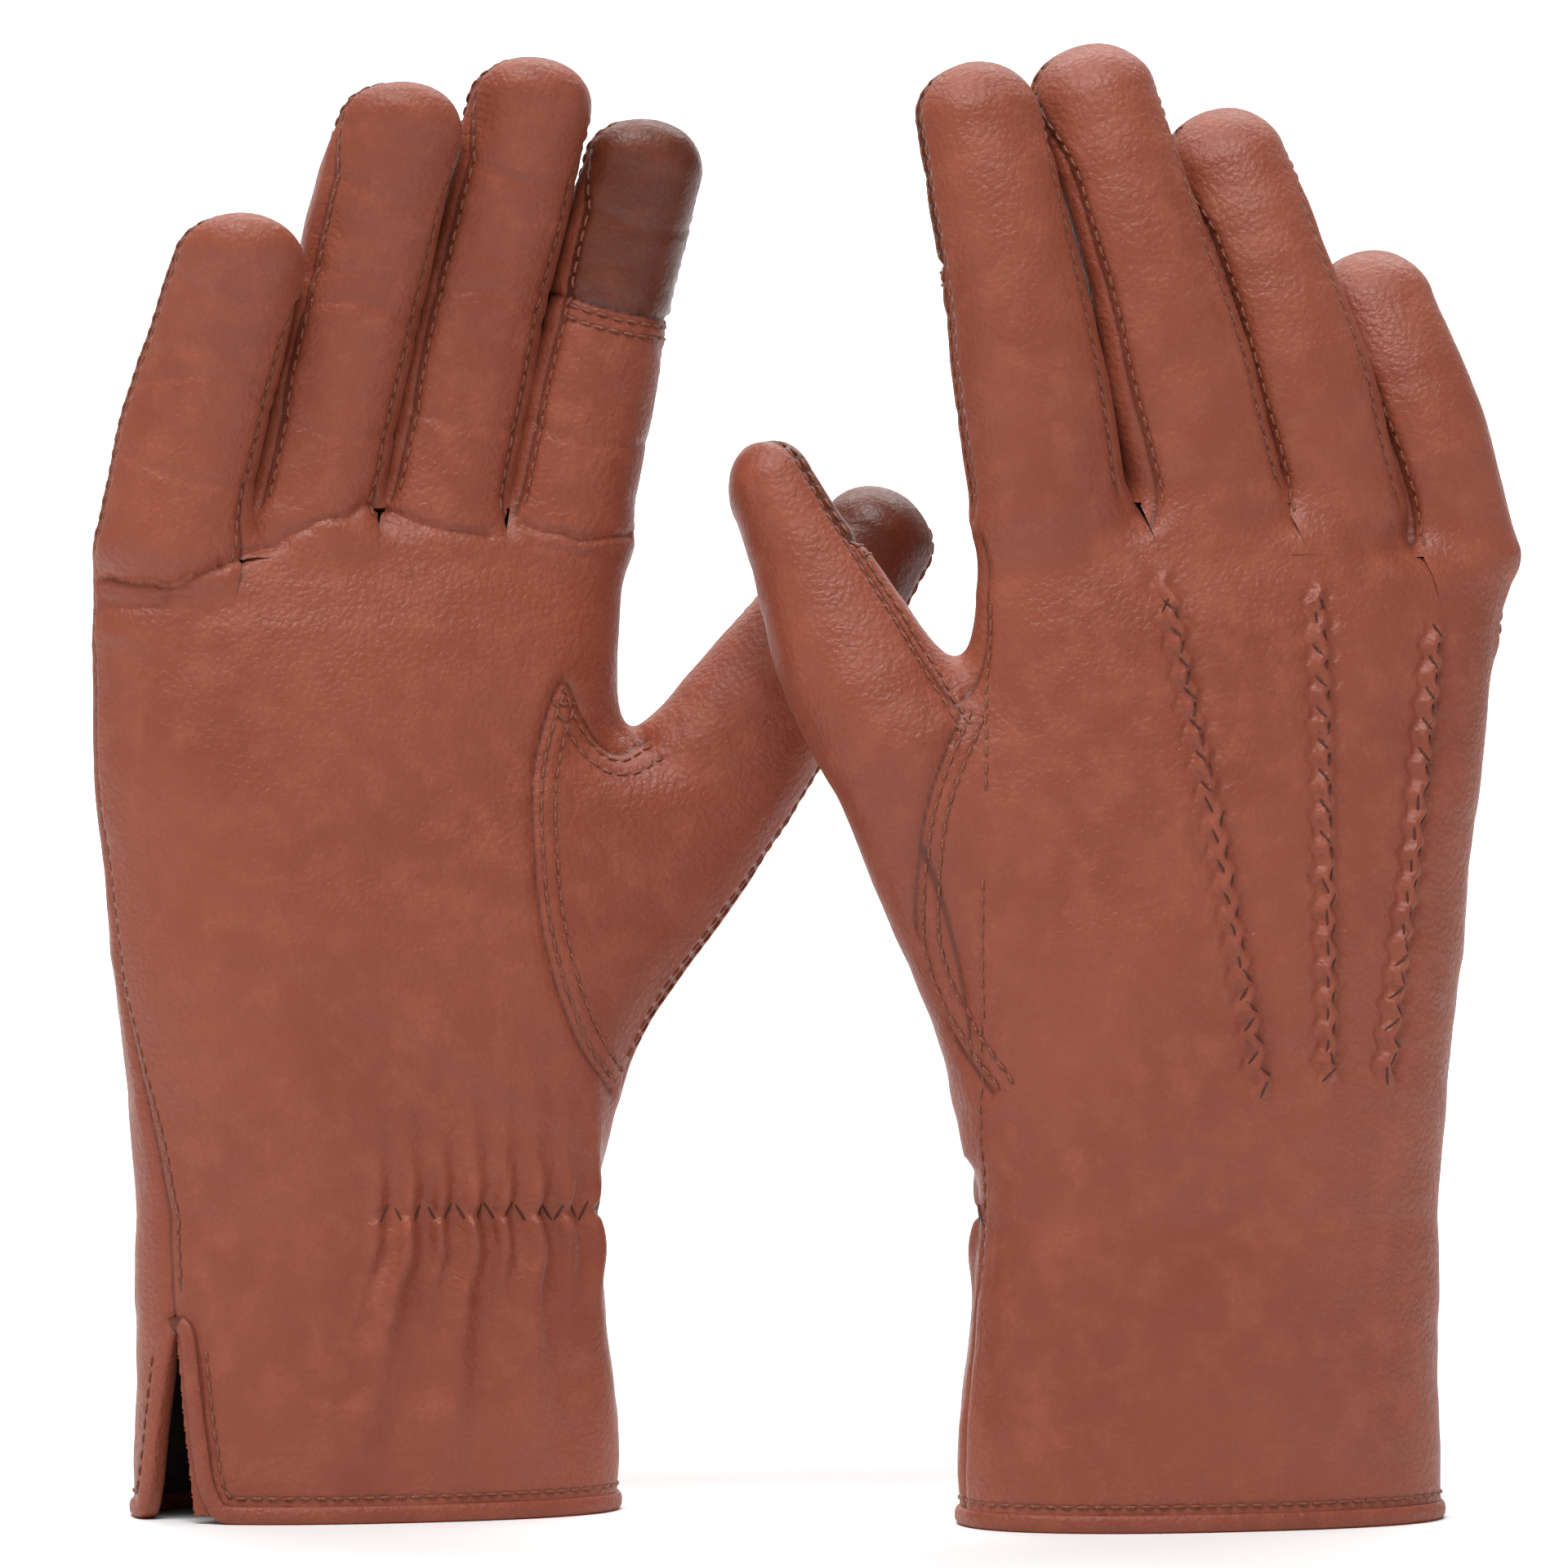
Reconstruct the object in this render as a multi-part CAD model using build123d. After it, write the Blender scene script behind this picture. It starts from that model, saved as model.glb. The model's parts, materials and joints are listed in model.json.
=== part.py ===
"""A pair of lined leather touchscreen gloves that stand on their hems.

Each glove is made in its own frame: the origin is the middle of the hem, +Z runs to the
fingertips, +X to the thumb, and -Y is the palm side. Both are right-hand gloves. The first
turns its palm to -Y of the row, the second is turned half round and shows its back there.
A digit (finger or thumb) has a frame of its own at its crease: z along the digit, x across
it and y to the back of the hand. It bends about x, and the thumb swings about y.
All sizes are in millimetres.
"""

import math
import os

from build123d import *

# ---- materials and layers ----
LEATHER = 1.2
LAYER_GAP = 0.15
LINING = 1.5
LINING_OUTER = LEATHER + LAYER_GAP
LINING_INNER = LINING_OUTER + LINING
TRIM_GAP = 0.1
INSETS = (0.0, LEATHER, LINING_OUTER, LINING_INNER)

# ---- cuff, hem and vent ----
HEM_HEIGHT = 4.0
HEM_STAND_OUT = 0.7
HEM_GAP = 0.1
VENT_ANGLE = 27.0
VENT_WIDTH = 14.0
VENT_HEIGHT = 36.0
STITCH_PITCH = 3.2
STITCH_LENGTH = 2.1
STITCH_SIZE = 0.5
STITCH_HEIGHT = HEM_HEIGHT + 3.0
STITCH_LIFT = 0.55

# ---- elastic inside the palm side of the wrist ----
ELASTIC_Z = 53.0
ELASTIC_WIDTH = 8.0
ELASTIC_THICKNESS = 0.7
ELASTIC_POCKET = 1.0
ELASTIC_CENTRE = 17.0
ELASTIC_REACH = 21.0

# ---- hand: height, centre across, half width, half depth ----
HAND_SECTIONS = (
    (0.0, 0.0, 43.2, 22.0),
    (17.0, 0.2, 43.4, 21.8),
    (34.0, 0.0, 41.9, 21.2),
    (52.0, -0.8, 41.2, 20.6),
    (74.0, -1.7, 42.4, 21.4),
    (98.0, -3.2, 43.6, 21.4),
    (124.0, -4.4, 45.0, 19.6),
    (146.0, -4.8, 46.0, 17.4),
    (160.0, -4.8, 46.0, 15.2),
    (167.0, -4.8, 44.6, 12.8),
    (171.0, -4.8, 41.6, 9.6),
)
HAND_SQUARENESS = 2.35
KNUCKLE_START = 120.0
HAND_TOP = HAND_SECTIONS[-1][0]

# ---- digits ----
REFERENCE_HEIGHT = 178.5
FINGER_ROOT = 26.0
FINGER_ROOT_TAPER = 3.0
DOME = 11.0
DOME_ANGLES = (20.0, 40.0, 58.0, 74.0)
DEPTH_RATIO = 0.95
TIP_TAPER = 0.90
CREASE_ABOVE = 1.5
CREASE_BELOW_BACK = 2.0
CREASE_BELOW_PALM = 11.5
CREASE_GAP = 0.12
GUSSET_SHARE = 0.80
INDEX_TOUCH_LENGTH = 35.0

# ---- thumb ----
THUMB_TOUCH_LENGTH = 27.0
THUMB_BELOW_INNER = 6.5
THUMB_BELOW_OUTER = 3.0
THUMB_ABOVE = 3.0
THUMB_ROOT = 58.0
THUMB_WEB_LENGTH = 32.0
THUMB_WEB_GROWTH = 0.28
THUMB_TAPER = 0.26
THUMB_HALF_DEPTH = 12.2
THUMB_DEPTH_TAPER = 1.6

# ---- outline of the thumb hole: x and z on the palm side, and how far it wraps to the back ----
THUMB_HOLE = ((30.0, 150.0), (23.0, 122.0), (26.0, 96.0), (38.0, 73.0), (70.0, 60.0), (120.0, 150.0))
THUMB_HOLE_BACK_X = 46.0

# ---- decorative points on the back: x and z at the top, x and z at the bottom ----
POINTS = (
    (11.0, 165.0, -4.5, 74.0),
    (-16.5, 162.0, -16.5, 76.0),
    (-39.0, 155.0, -27.5, 76.0),
)
POINT_WIDTH = 2.4
POINT_HEIGHT = 0.9

BIG = 400.0

# ---- the two gloves ----
GLOVES = (
    {
        "name": "glove1",
        "place": (-75.6, 8.0),
        "turn": 15.0,
        "knuckle_shift": 2.0,
        "fingers": (
            {"name": "index", "x": 33.6, "lean": 12.0, "crease": 187.0, "tip": 244.0,
             "half_width": 10.5, "base_depth": 0.0, "curl": 10.0},
            {"name": "middle", "x": 10.9, "lean": 11.6, "crease": 189.5, "tip": 254.0,
             "half_width": 10.8, "base_depth": 0.0, "curl": 13.0},
            {"name": "ring", "x": -12.2, "lean": 12.0, "crease": 188.0, "tip": 249.0,
             "half_width": 11.0, "base_depth": 1.0, "curl": 16.0},
            {"name": "little", "x": -35.7, "lean": 12.4, "crease": 180.0, "tip": 225.0,
             "half_width": 11.2, "base_depth": 3.0, "curl": 15.0},
        ),
        "thumb": {"name": "thumb", "x": 57.5, "z": 125.0, "lean": 35.0, "tilt": 3.0,
                  "length": 64.0, "half_width": 15.0, "base_depth": 4.0, "curl": 2.0, "roll": 12.0},
    },
    {
        "name": "glove2",
        "place": (66.9, -8.0),
        "turn": 195.0,
        "knuckle_shift": -2.6,
        "fingers": (
            {"name": "index", "x": 27.6, "lean": 9.5, "crease": 190.0, "tip": 251.5,
             "half_width": 11.0, "base_depth": 0.0, "curl": 8.0},
            {"name": "middle", "x": -0.9, "lean": 14.4, "crease": 190.0, "tip": 255.5,
             "half_width": 11.0, "base_depth": 0.0, "curl": 12.0},
            {"name": "ring", "x": -23.9, "lean": 15.2, "crease": 188.0, "tip": 245.0,
             "half_width": 10.3, "base_depth": 1.0, "curl": 15.0},
            {"name": "little", "x": -45.2, "lean": 15.3, "crease": 179.0, "tip": 220.5,
             "half_width": 9.7, "base_depth": 3.0, "curl": 14.0},
        ),
        "thumb": {"name": "thumb", "x": 51.0, "z": 131.0, "lean": 24.0, "tilt": 19.0,
                  "length": 62.5, "half_width": 14.0, "base_depth": 5.0, "curl": 1.0, "roll": -52.0},
    },
)


# ---- placing ----
def glove_location(glove):
    """Carries a shape from the glove's frame to the row's frame."""
    x, y = glove["place"]
    return Location((x, y, 0)) * Location((0, 0, 0), (0, 0, glove["turn"]))


def finger_plane(finger):
    """The finger's frame: origin at its crease, z along the finger, x across it."""
    lean = math.radians(finger["lean"])
    x = finger["x"] + math.tan(lean) * (finger["crease"] - REFERENCE_HEIGHT)
    origin = (x, -finger["base_depth"], finger["crease"])
    return Plane(origin, x_dir=(math.cos(lean), 0, -math.sin(lean)),
                 z_dir=(math.sin(lean), 0, math.cos(lean)))


def thumb_plane(thumb):
    """The thumb's frame: it leans outwards, and tilts to the palm side."""
    lean, tilt = math.radians(thumb["lean"]), math.radians(thumb["tilt"])
    along = (math.sin(lean) * math.cos(tilt), -math.sin(tilt), math.cos(lean) * math.cos(tilt))
    across = (math.cos(lean), 0, -math.sin(lean))
    return Plane((thumb["x"], -thumb["base_depth"], thumb["z"]), x_dir=across, z_dir=along)


def finger_length(finger):
    return (finger["tip"] - finger["crease"]) / math.cos(math.radians(finger["lean"]))


# ---- sections and lofts ----
def ring_wire(centre_x, centre_y, height, half_width, half_depth, squareness=2.0, count=16):
    """A closed smooth outline, level at the given height."""
    points = []
    for i in range(count):
        angle = 2 * math.pi * i / count
        c, s = math.cos(angle), math.sin(angle)
        px = half_width * math.copysign(abs(c) ** (2 / squareness), c)
        py = half_depth * math.copysign(abs(s) ** (2 / squareness), s)
        points.append((centre_x + px, centre_y + py, height))
    return Wire([Edge.make_spline([Vector(*p) for p in points], periodic=True)])


def hand_centre(glove, height, centre):
    rise = max(0.0, height - KNUCKLE_START) / (HAND_TOP - KNUCKLE_START)
    return centre + glove["knuckle_shift"] * rise


def hand_solid(glove, inset, low=0.0, high=HAND_TOP):
    """The hand as one closed body, drawn in by inset, with level ends at low and high."""
    wires = []
    for height, centre, half_width, half_depth in HAND_SECTIONS:
        wires.append(ring_wire(hand_centre(glove, height, centre), 0, height,
                               half_width - inset, half_depth - inset, HAND_SQUARENESS))
    body = Solid.make_loft(wires)
    keep = Pos(0, 0, (low + high) / 2) * Box(BIG, BIG, high - low)
    return body & keep


def curl_at(digit, length, along):
    """How far the digit's middle line lies to the palm side, at a distance along it."""
    share = max(0.0, along) / length
    return digit["curl"] * share ** 2


def finger_section(finger, length, along):
    """Centre across, centre to the back, half width and half depth at a distance along."""
    share = max(0.0, along) / (length - DOME)
    half_width = finger["half_width"] * (1 - (1 - TIP_TAPER) * share ** 2)
    root_share = max(0.0, -2 * along / FINGER_ROOT - 1)
    half_width = half_width - FINGER_ROOT_TAPER * root_share
    return 0.0, -curl_at(finger, length, along), half_width, half_width * DEPTH_RATIO


def thumb_section(thumb, length, along):
    """As finger_section. The root widens to the hand, and keeps level as it goes down."""
    share = max(0.0, along) / (length - DOME)
    web = THUMB_WEB_GROWTH * min(THUMB_WEB_LENGTH, max(0.0, -along))
    half_width = thumb["half_width"] * (1 - THUMB_TAPER * share) + web
    half_depth = THUMB_HALF_DEPTH - THUMB_DEPTH_TAPER * share
    sink = min(0.0, along) * math.tan(math.radians(thumb["tilt"]))
    return -web, sink - curl_at(thumb, length, along), half_width, half_depth


def digit_solid(digit, length, inset, section, root_stations, ruled=False):
    """A digit as one closed body in its own frame, drawn in by inset."""
    straight = length - DOME
    stations = list(root_stations) + [straight * share / 5 for share in range(6)]
    wires = []
    for along in stations:
        centre_x, centre_y, half_width, half_depth = section(digit, length, along)
        wires.append(ring_wire(centre_x, centre_y, along, half_width - inset, half_depth - inset))
    for angle in DOME_ANGLES:
        turn = math.radians(angle)
        along = straight + (DOME - inset) * math.sin(turn)
        wires.append(ring_wire(0, -curl_at(digit, length, along), along,
                               (half_width - inset) * math.cos(turn),
                               (half_depth - inset) * math.cos(turn)))
    return Solid.make_loft(wires, ruled=ruled)


# ---- cutting tools, in a digit's frame ----
def above_level(level):
    return Pos(0, 0, level + BIG / 2) * Box(BIG, BIG, BIG)


def below_slope(level, slope_degrees, about):
    """Everything below a plane that passes x = y = 0 at level, tipped about an axis."""
    tip = Rot(slope_degrees, 0, 0) if about == "x" else Rot(0, slope_degrees, 0)
    return Pos(0, 0, level) * tip * Pos(0, 0, -BIG / 2) * Box(BIG, BIG, BIG)


def finger_stub_cut(finger, gap=0.0):
    """What stays on the hand: more is cut away on the palm side, for the bend."""
    half = finger["half_width"] * DEPTH_RATIO
    middle = gap - (CREASE_BELOW_BACK + CREASE_BELOW_PALM) / 2
    slope = math.degrees(math.atan((CREASE_BELOW_PALM - CREASE_BELOW_BACK) / (2 * half)))
    return below_slope(middle, slope, "x")


def thumb_stub_cut(thumb, gap=0.0):
    half = thumb["half_width"]
    middle = gap - (THUMB_BELOW_INNER + THUMB_BELOW_OUTER) / 2
    slope = math.degrees(math.atan((THUMB_BELOW_INNER - THUMB_BELOW_OUTER) / (2 * half)))
    return below_slope(middle, -slope, "y")


def slab(x_low=-BIG, x_high=BIG, y_low=-BIG, y_high=BIG, z_low=-BIG, z_high=BIG):
    centre = ((x_low + x_high) / 2, (y_low + y_high) / 2, (z_low + z_high) / 2)
    return Pos(*centre) * Box(x_high - x_low, y_high - y_low, z_high - z_low)


# ---- one digit's own pieces, in its frame ----
def finger_pieces(finger):
    length = finger_length(finger)
    skins = {inset: digit_solid(finger, length, inset, finger_section, (-FINGER_ROOT, -FINGER_ROOT / 2))
             for inset in INSETS}
    shell = skins[0.0] - skins[LEATHER]
    lining = skins[LINING_OUTER] - skins[LINING_INNER]
    upper = above_level(CREASE_ABOVE)
    edge = finger["half_width"] * GUSSET_SHARE
    sides = []
    if finger["name"] != "index":
        sides.append(slab(x_low=edge))
    if finger["name"] != "little":
        sides.append(slab(x_high=-edge))
    gussets = [shell & upper & side for side in sides]
    stall = shell & upper
    for side in sides:
        stall = stall - side
    pieces = {"gussets": gussets, "lining": [lining & upper]}
    if finger["name"] == "index":
        middle = -curl_at(finger, length, length - INDEX_TOUCH_LENGTH / 2)
        pad = slab(y_high=middle, z_low=length - INDEX_TOUCH_LENGTH)
        pieces["touch_tip"] = [stall & pad]
        stall = stall - pad
    pieces["stall"] = [stall]
    band = shell - above_level(CREASE_ABOVE - CREASE_GAP) - finger_stub_cut(finger, CREASE_GAP)
    pieces["crease"] = [band]
    return pieces, skins


def thumb_pieces(thumb):
    length = thumb["length"]
    root = [-THUMB_ROOT * share / 5 for share in (5, 4, 3, 2, 1)]
    skins = {}
    for inset in INSETS:
        skins[inset] = digit_solid(thumb, length, inset, thumb_section, root, ruled=True)
    shell = skins[0.0] - skins[LEATHER]
    lining = skins[LINING_OUTER] - skins[LINING_INNER]
    upper = shell & above_level(THUMB_ABOVE)
    palm_half = Pos(0, -thumb["curl"] / 2, 0) * Rot(0, 0, thumb["roll"]) * slab(y_high=0)
    palm_side = upper & palm_half
    pad = above_level(length - THUMB_TOUCH_LENGTH)
    band = shell - above_level(THUMB_ABOVE - CREASE_GAP) - thumb_stub_cut(thumb, CREASE_GAP)
    pieces = {
        "back_piece": [upper - palm_half],
        "palm_piece": [palm_side - pad],
        "touch_tip": [palm_side & pad],
        "lining": [lining & above_level(THUMB_ABOVE)],
        "crease": [band],
    }
    return pieces, skins


# ---- hand pieces, in the glove's frame ----
def vent_cut():
    """The wedge cut out of the cuff at the little-finger side, a little to the palm."""
    half_width, half_depth = HAND_SECTIONS[1][2], HAND_SECTIONS[1][3]
    angle = math.radians(VENT_ANGLE)
    spot = Vector(-half_width * math.cos(angle), -half_depth * math.sin(angle), 0)
    out = Vector(-math.cos(angle) / half_width, -math.sin(angle) / half_depth, 0).normalized()
    across = Vector(0, 0, 1).cross(out)
    face = Plane(spot - out * 9, x_dir=across, z_dir=out)
    outline = Polyline((-VENT_WIDTH / 2, -1), (VENT_WIDTH / 2, -1), (0, VENT_HEIGHT), close=True)
    return extrude(face * make_face(outline), 20)


def hand_skin(glove, digits, outer, inner, low):
    """The layer between two insets, over the hand and the roots of all five digits."""
    skin = hand_solid(glove, outer, low, HAND_TOP - outer)
    for plane, skins, stub_cut in digits:
        skin = skin + plane.location * (skins[outer] & stub_cut)
    skin = skin - hand_solid(glove, inner, low - 1, HAND_TOP - inner)
    for plane, skins, stub_cut in digits:
        skin = skin - plane.location * skins[inner]
    return skin


def hem_binding(glove, vent):
    outside = hand_solid(glove, -HEM_STAND_OUT, 0, HEM_HEIGHT)
    band = outside - hand_solid(glove, LINING_INNER, -1, HEM_HEIGHT + 1)
    return band - vent


def elastic_box(glove, grow=0.0):
    reach = ELASTIC_REACH + grow
    return slab(x_low=ELASTIC_CENTRE - reach, x_high=ELASTIC_CENTRE + reach, y_high=-2,
                z_low=ELASTIC_Z - ELASTIC_WIDTH / 2 - grow, z_high=ELASTIC_Z + ELASTIC_WIDTH / 2 + grow)


def wrist_elastic(glove):
    strip = hand_solid(glove, LINING_OUTER) - hand_solid(glove, LINING_OUTER + ELASTIC_THICKNESS)
    return strip & elastic_box(glove)


def elastic_pocket(glove):
    hollow = hand_solid(glove, LINING_OUTER - 0.1) - hand_solid(glove, LINING_OUTER + ELASTIC_POCKET)
    return hollow & elastic_box(glove, 0.4)


def back_points(glove):
    """Three raised ridges that run down the back."""
    skin = hand_solid(glove, -POINT_HEIGHT) - hand_solid(glove, -TRIM_GAP)
    ridges = []
    for top_x, top_z, low_x, low_z in POINTS:
        length = math.hypot(top_x - low_x, top_z - low_z)
        lean = math.degrees(math.atan2(top_x - low_x, top_z - low_z))
        bar = Box(POINT_WIDTH, BIG / 2, length)
        middle = Pos((top_x + low_x) / 2, BIG / 4 + 1, (top_z + low_z) / 2)
        ridges.append(skin & (middle * Rot(0, lean, 0) * bar))
    return ridges


def cuff_outline(height, grow, count):
    """Points round the cuff at a height, pushed out by grow, with the first repeated last."""
    (low_z, low_x, low_w, low_d), (high_z, high_x, high_w, high_d) = HAND_SECTIONS[:2]
    share = (height - low_z) / (high_z - low_z)
    centre, half_width, half_depth = (
        low + share * (high - low) for low, high in ((low_x, high_x), (low_w, high_w), (low_d, high_d)))
    points = []
    for i in range(count + 1):
        c, s = math.cos(2 * math.pi * i / count), math.sin(2 * math.pi * i / count)
        px = (half_width + grow) * math.copysign(abs(c) ** (2 / HAND_SQUARENESS), c)
        py = (half_depth + grow) * math.copysign(abs(s) ** (2 / HAND_SQUARENESS), s)
        points.append(Vector(centre + px, py, height))
    return points


def hem_stitches():
    """One row of stitches round the cuff, each a small block just off the leather."""
    outline = cuff_outline(STITCH_HEIGHT, STITCH_LIFT + STITCH_SIZE / 2, 1440)
    stitches, walked = [], 0.0
    for previous, spot in zip(outline, outline[1:]):
        step = spot - previous
        walked += step.length
        if walked >= STITCH_PITCH:
            walked = 0.0
            plane = Plane(spot, x_dir=step.normalized(), z_dir=(0, 0, 1))
            if not near_vent(spot):
                stitches.append(plane.location * Box(STITCH_LENGTH, STITCH_SIZE, STITCH_SIZE))
    return stitches


def near_vent(spot):
    angle = math.radians(VENT_ANGLE)
    half_width, half_depth = HAND_SECTIONS[1][2], HAND_SECTIONS[1][3]
    middle = Vector(-half_width * math.cos(angle), -half_depth * math.sin(angle), spot.Z)
    return (spot - middle).length < VENT_WIDTH / 2 + STITCH_LENGTH


def thumb_setting(thumb):
    """The region of the hand's leather that belongs to the thumb's base piece."""
    outline = Plane.XZ * make_face(Polyline(*THUMB_HOLE, close=True))
    palm_side = extrude(outline, BIG / 2)
    back_side = slab(x_low=THUMB_HOLE_BACK_X, z_low=THUMB_HOLE[-2][1], z_high=THUMB_HOLE[0][1] + 10)
    return palm_side + back_side


def glove_nodes(glove):
    """Every node of one glove, name to list of solids, in the glove's frame."""
    nodes, digits = {}, []
    palm = hand_solid(glove, -TRIM_GAP)
    for digit in (*glove["fingers"], glove["thumb"]):
        if digit is glove["thumb"]:
            plane, stub_cut = thumb_plane(digit), thumb_stub_cut(digit)
            pieces, skins = thumb_pieces(digit)
        else:
            plane, stub_cut = finger_plane(digit), finger_stub_cut(digit)
            pieces, skins = finger_pieces(digit)
        digits.append((plane, skins, stub_cut))
        for part, shapes in pieces.items():
            placed = [plane.location * shape for shape in shapes]
            nodes[f"{digit['name']}_{part}"] = [p - palm for p in placed] if part == "crease" else placed

    vent = vent_cut()
    setting = thumb_setting(glove["thumb"])
    leather = hand_skin(glove, digits, 0.0, LEATHER, HEM_HEIGHT + HEM_GAP) - vent
    nodes["thumb_gusset"] = [leather & setting]
    leather = leather - setting
    nodes["back_panel"] = [leather & slab(y_low=0)]
    nodes["palm_panel"] = [leather & slab(y_high=0)]
    lining = hand_skin(glove, digits, LINING_OUTER, LINING_INNER, HEM_HEIGHT + HEM_GAP)
    nodes["hand_lining"] = [lining - vent - elastic_pocket(glove)]
    nodes["wrist_elastic"] = [wrist_elastic(glove)]
    nodes["hem_binding"] = [hem_binding(glove, vent)]
    nodes["back_points"] = back_points(glove)
    nodes["hem_stitching"] = hem_stitches()
    return nodes


def main():
    os.makedirs("parts", exist_ok=True)
    for glove in GLOVES:
        place = glove_location(glove)
        for name, shapes in glove_nodes(glove).items():
            solids = [place * solid for shape in shapes for solid in shape.solids()]
            export_step(Compound(children=solids), f"parts/{glove['name']}_{name}.step")


if __name__ == "__main__":
    main()
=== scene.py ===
import json
import math

import bmesh
import bpy
import numpy as np
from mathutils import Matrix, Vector
from mathutils.bvhtree import BVHTree
from mathutils.kdtree import KDTree


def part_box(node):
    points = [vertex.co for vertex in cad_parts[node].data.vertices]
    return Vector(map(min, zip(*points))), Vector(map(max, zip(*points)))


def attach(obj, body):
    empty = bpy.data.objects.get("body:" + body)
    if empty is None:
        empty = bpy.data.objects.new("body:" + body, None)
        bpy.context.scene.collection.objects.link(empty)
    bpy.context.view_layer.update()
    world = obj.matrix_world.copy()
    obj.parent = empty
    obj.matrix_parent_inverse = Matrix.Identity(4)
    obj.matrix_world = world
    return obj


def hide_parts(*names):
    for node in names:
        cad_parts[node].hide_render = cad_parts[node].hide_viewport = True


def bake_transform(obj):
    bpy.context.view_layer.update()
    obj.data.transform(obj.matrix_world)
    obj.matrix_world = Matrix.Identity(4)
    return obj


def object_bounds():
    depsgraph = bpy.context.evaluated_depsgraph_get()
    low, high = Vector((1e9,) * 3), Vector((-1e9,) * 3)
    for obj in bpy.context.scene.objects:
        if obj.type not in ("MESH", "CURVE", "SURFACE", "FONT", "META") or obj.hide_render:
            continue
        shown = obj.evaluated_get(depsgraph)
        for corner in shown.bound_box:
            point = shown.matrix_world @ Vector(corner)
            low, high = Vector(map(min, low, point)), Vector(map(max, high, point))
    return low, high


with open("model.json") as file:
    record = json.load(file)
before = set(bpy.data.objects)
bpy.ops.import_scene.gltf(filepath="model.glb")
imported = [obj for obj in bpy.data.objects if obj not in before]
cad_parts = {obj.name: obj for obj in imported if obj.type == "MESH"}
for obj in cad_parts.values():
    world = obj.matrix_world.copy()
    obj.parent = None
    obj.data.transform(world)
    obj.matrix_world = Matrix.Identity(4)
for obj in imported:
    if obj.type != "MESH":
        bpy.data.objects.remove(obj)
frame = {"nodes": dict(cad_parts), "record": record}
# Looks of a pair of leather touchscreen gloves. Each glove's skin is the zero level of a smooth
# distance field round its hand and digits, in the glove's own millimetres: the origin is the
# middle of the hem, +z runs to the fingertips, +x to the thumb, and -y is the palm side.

CAD_BOX = [list(corner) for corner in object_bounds()]
MM = 0.001
STEP = 0.6
LINING_STEP = 1.6
COARSE = 4
FINGERS = ("index", "middle", "ring", "little")

# hand: height, centre across, half width, half depth
HAND_SECTIONS = np.array((
    (-8.0, -0.3, 42.3, 22.0),
    (0.0, -0.3, 42.2, 22.0),
    (17.0, -0.3, 42.0, 21.8),
    (34.0, -0.5, 41.0, 21.2),
    (52.0, -1.2, 40.5, 20.4),
    (74.0, -1.9, 42.0, 21.4),
    (98.0, -3.2, 43.6, 21.4),
    (124.0, -4.4, 45.0, 19.6),
    (146.0, -4.9, 46.2, 17.2),
    (154.0, -5.0, 46.4, 15.8),
    (160.0, -5.0, 46.4, 14.0),
    (166.0, -4.9, 45.8, 12.2),
    (174.0, -4.8, 44.6, 10.0),
    (184.0, -4.8, 43.4, 8.0),
))
HAND_SQUARENESS = 2.35
HAND_CAP = 167.0
HAND_CAP_DROP = 5.0
HAND_CAP_HEIGHT = 8.0
KNUCKLE_START, KNUCKLE_END = 120.0, 171.0
KNUCKLE_SHIFT = {"glove1": 2.0, "glove2": -2.6}
SPLIT_HEIGHT = 158.0
CROTCH = 169.0
LITTLE_CROTCH = 160.0
NEIGHBOUR_FADE = 60.0
SLOPE_REACH = 0.05
GROWTH = 0.35
FINGER_GROWTH = 0.95

DOME = 9.0
DIGIT_SQUARENESS = 2.2
ROOT_DEPTH = {"index": 30.0, "middle": 30.0, "ring": 30.0, "little": 26.0, "thumb": 58.0}
ROOT_SINK = 8.0
ROOT_FLARE = {"glove2_index": 1.2, "glove2_middle": 1.9, "glove2_ring": 1.4, "glove2_little": 0.0}
THUMB_TAPER = {"glove1": 0.10, "glove2": 0.30}
WEB_BLEND = {"index": 8.0, "middle": 8.0, "ring": 8.0, "little": 8.0, "thumb": 11.0}
THUMB_WEB_LENGTH = 32.0
THUMB_WEB_GROWTH = {"glove1": 0.37, "glove2": 0.25}
THUMB_ROLL = {"glove1": -20.0, "glove2": -52.0}
INDEX_TOUCH_LENGTH = 35.0
THUMB_TOUCH_LENGTH = 27.0
GUSSET_ANGLE = 40.0

# seams of the hand, x and z in the glove's frame
THUMB_HOLE = ((46.0, 135.0), (40.0, 131.4), (33.5, 138.0), (30.0, 147.5), (25.6, 136.0), (23.3, 125.0),
              (23.8, 108.0), (26.2, 95.0), (30.5, 84.0), (34.0, 78.5), (39.0, 73.6))
BACK_POINTS = (((11.0, 165.0), (-4.5, 74.0)), ((-16.5, 162.0), (-16.5, 76.0)),
               ((-39.0, 155.0), (-27.5, 76.0)))
ULNAR_SEAM_HEIGHTS = (0.0, 36.0, 53.0, 68.0, 93.0, 130.0)
ULNAR_SEAM_DEGREES = (27.0, 28.0, 27.0, 22.0, 8.0, 0.0)
RADIAL_SEAM_DEGREES = 11.0
VENT_HEIGHT = 36.0
VENT_HALF_WIDTH = 6.5
ELASTIC_Z = 53.0
ELASTIC_CENTRE = 18.0
ELASTIC_REACH = 23.0
PLEAT_PITCH = 5.6
PLEAT_DEPTH = 1.1
POINT_PITCH = 5.2
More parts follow.
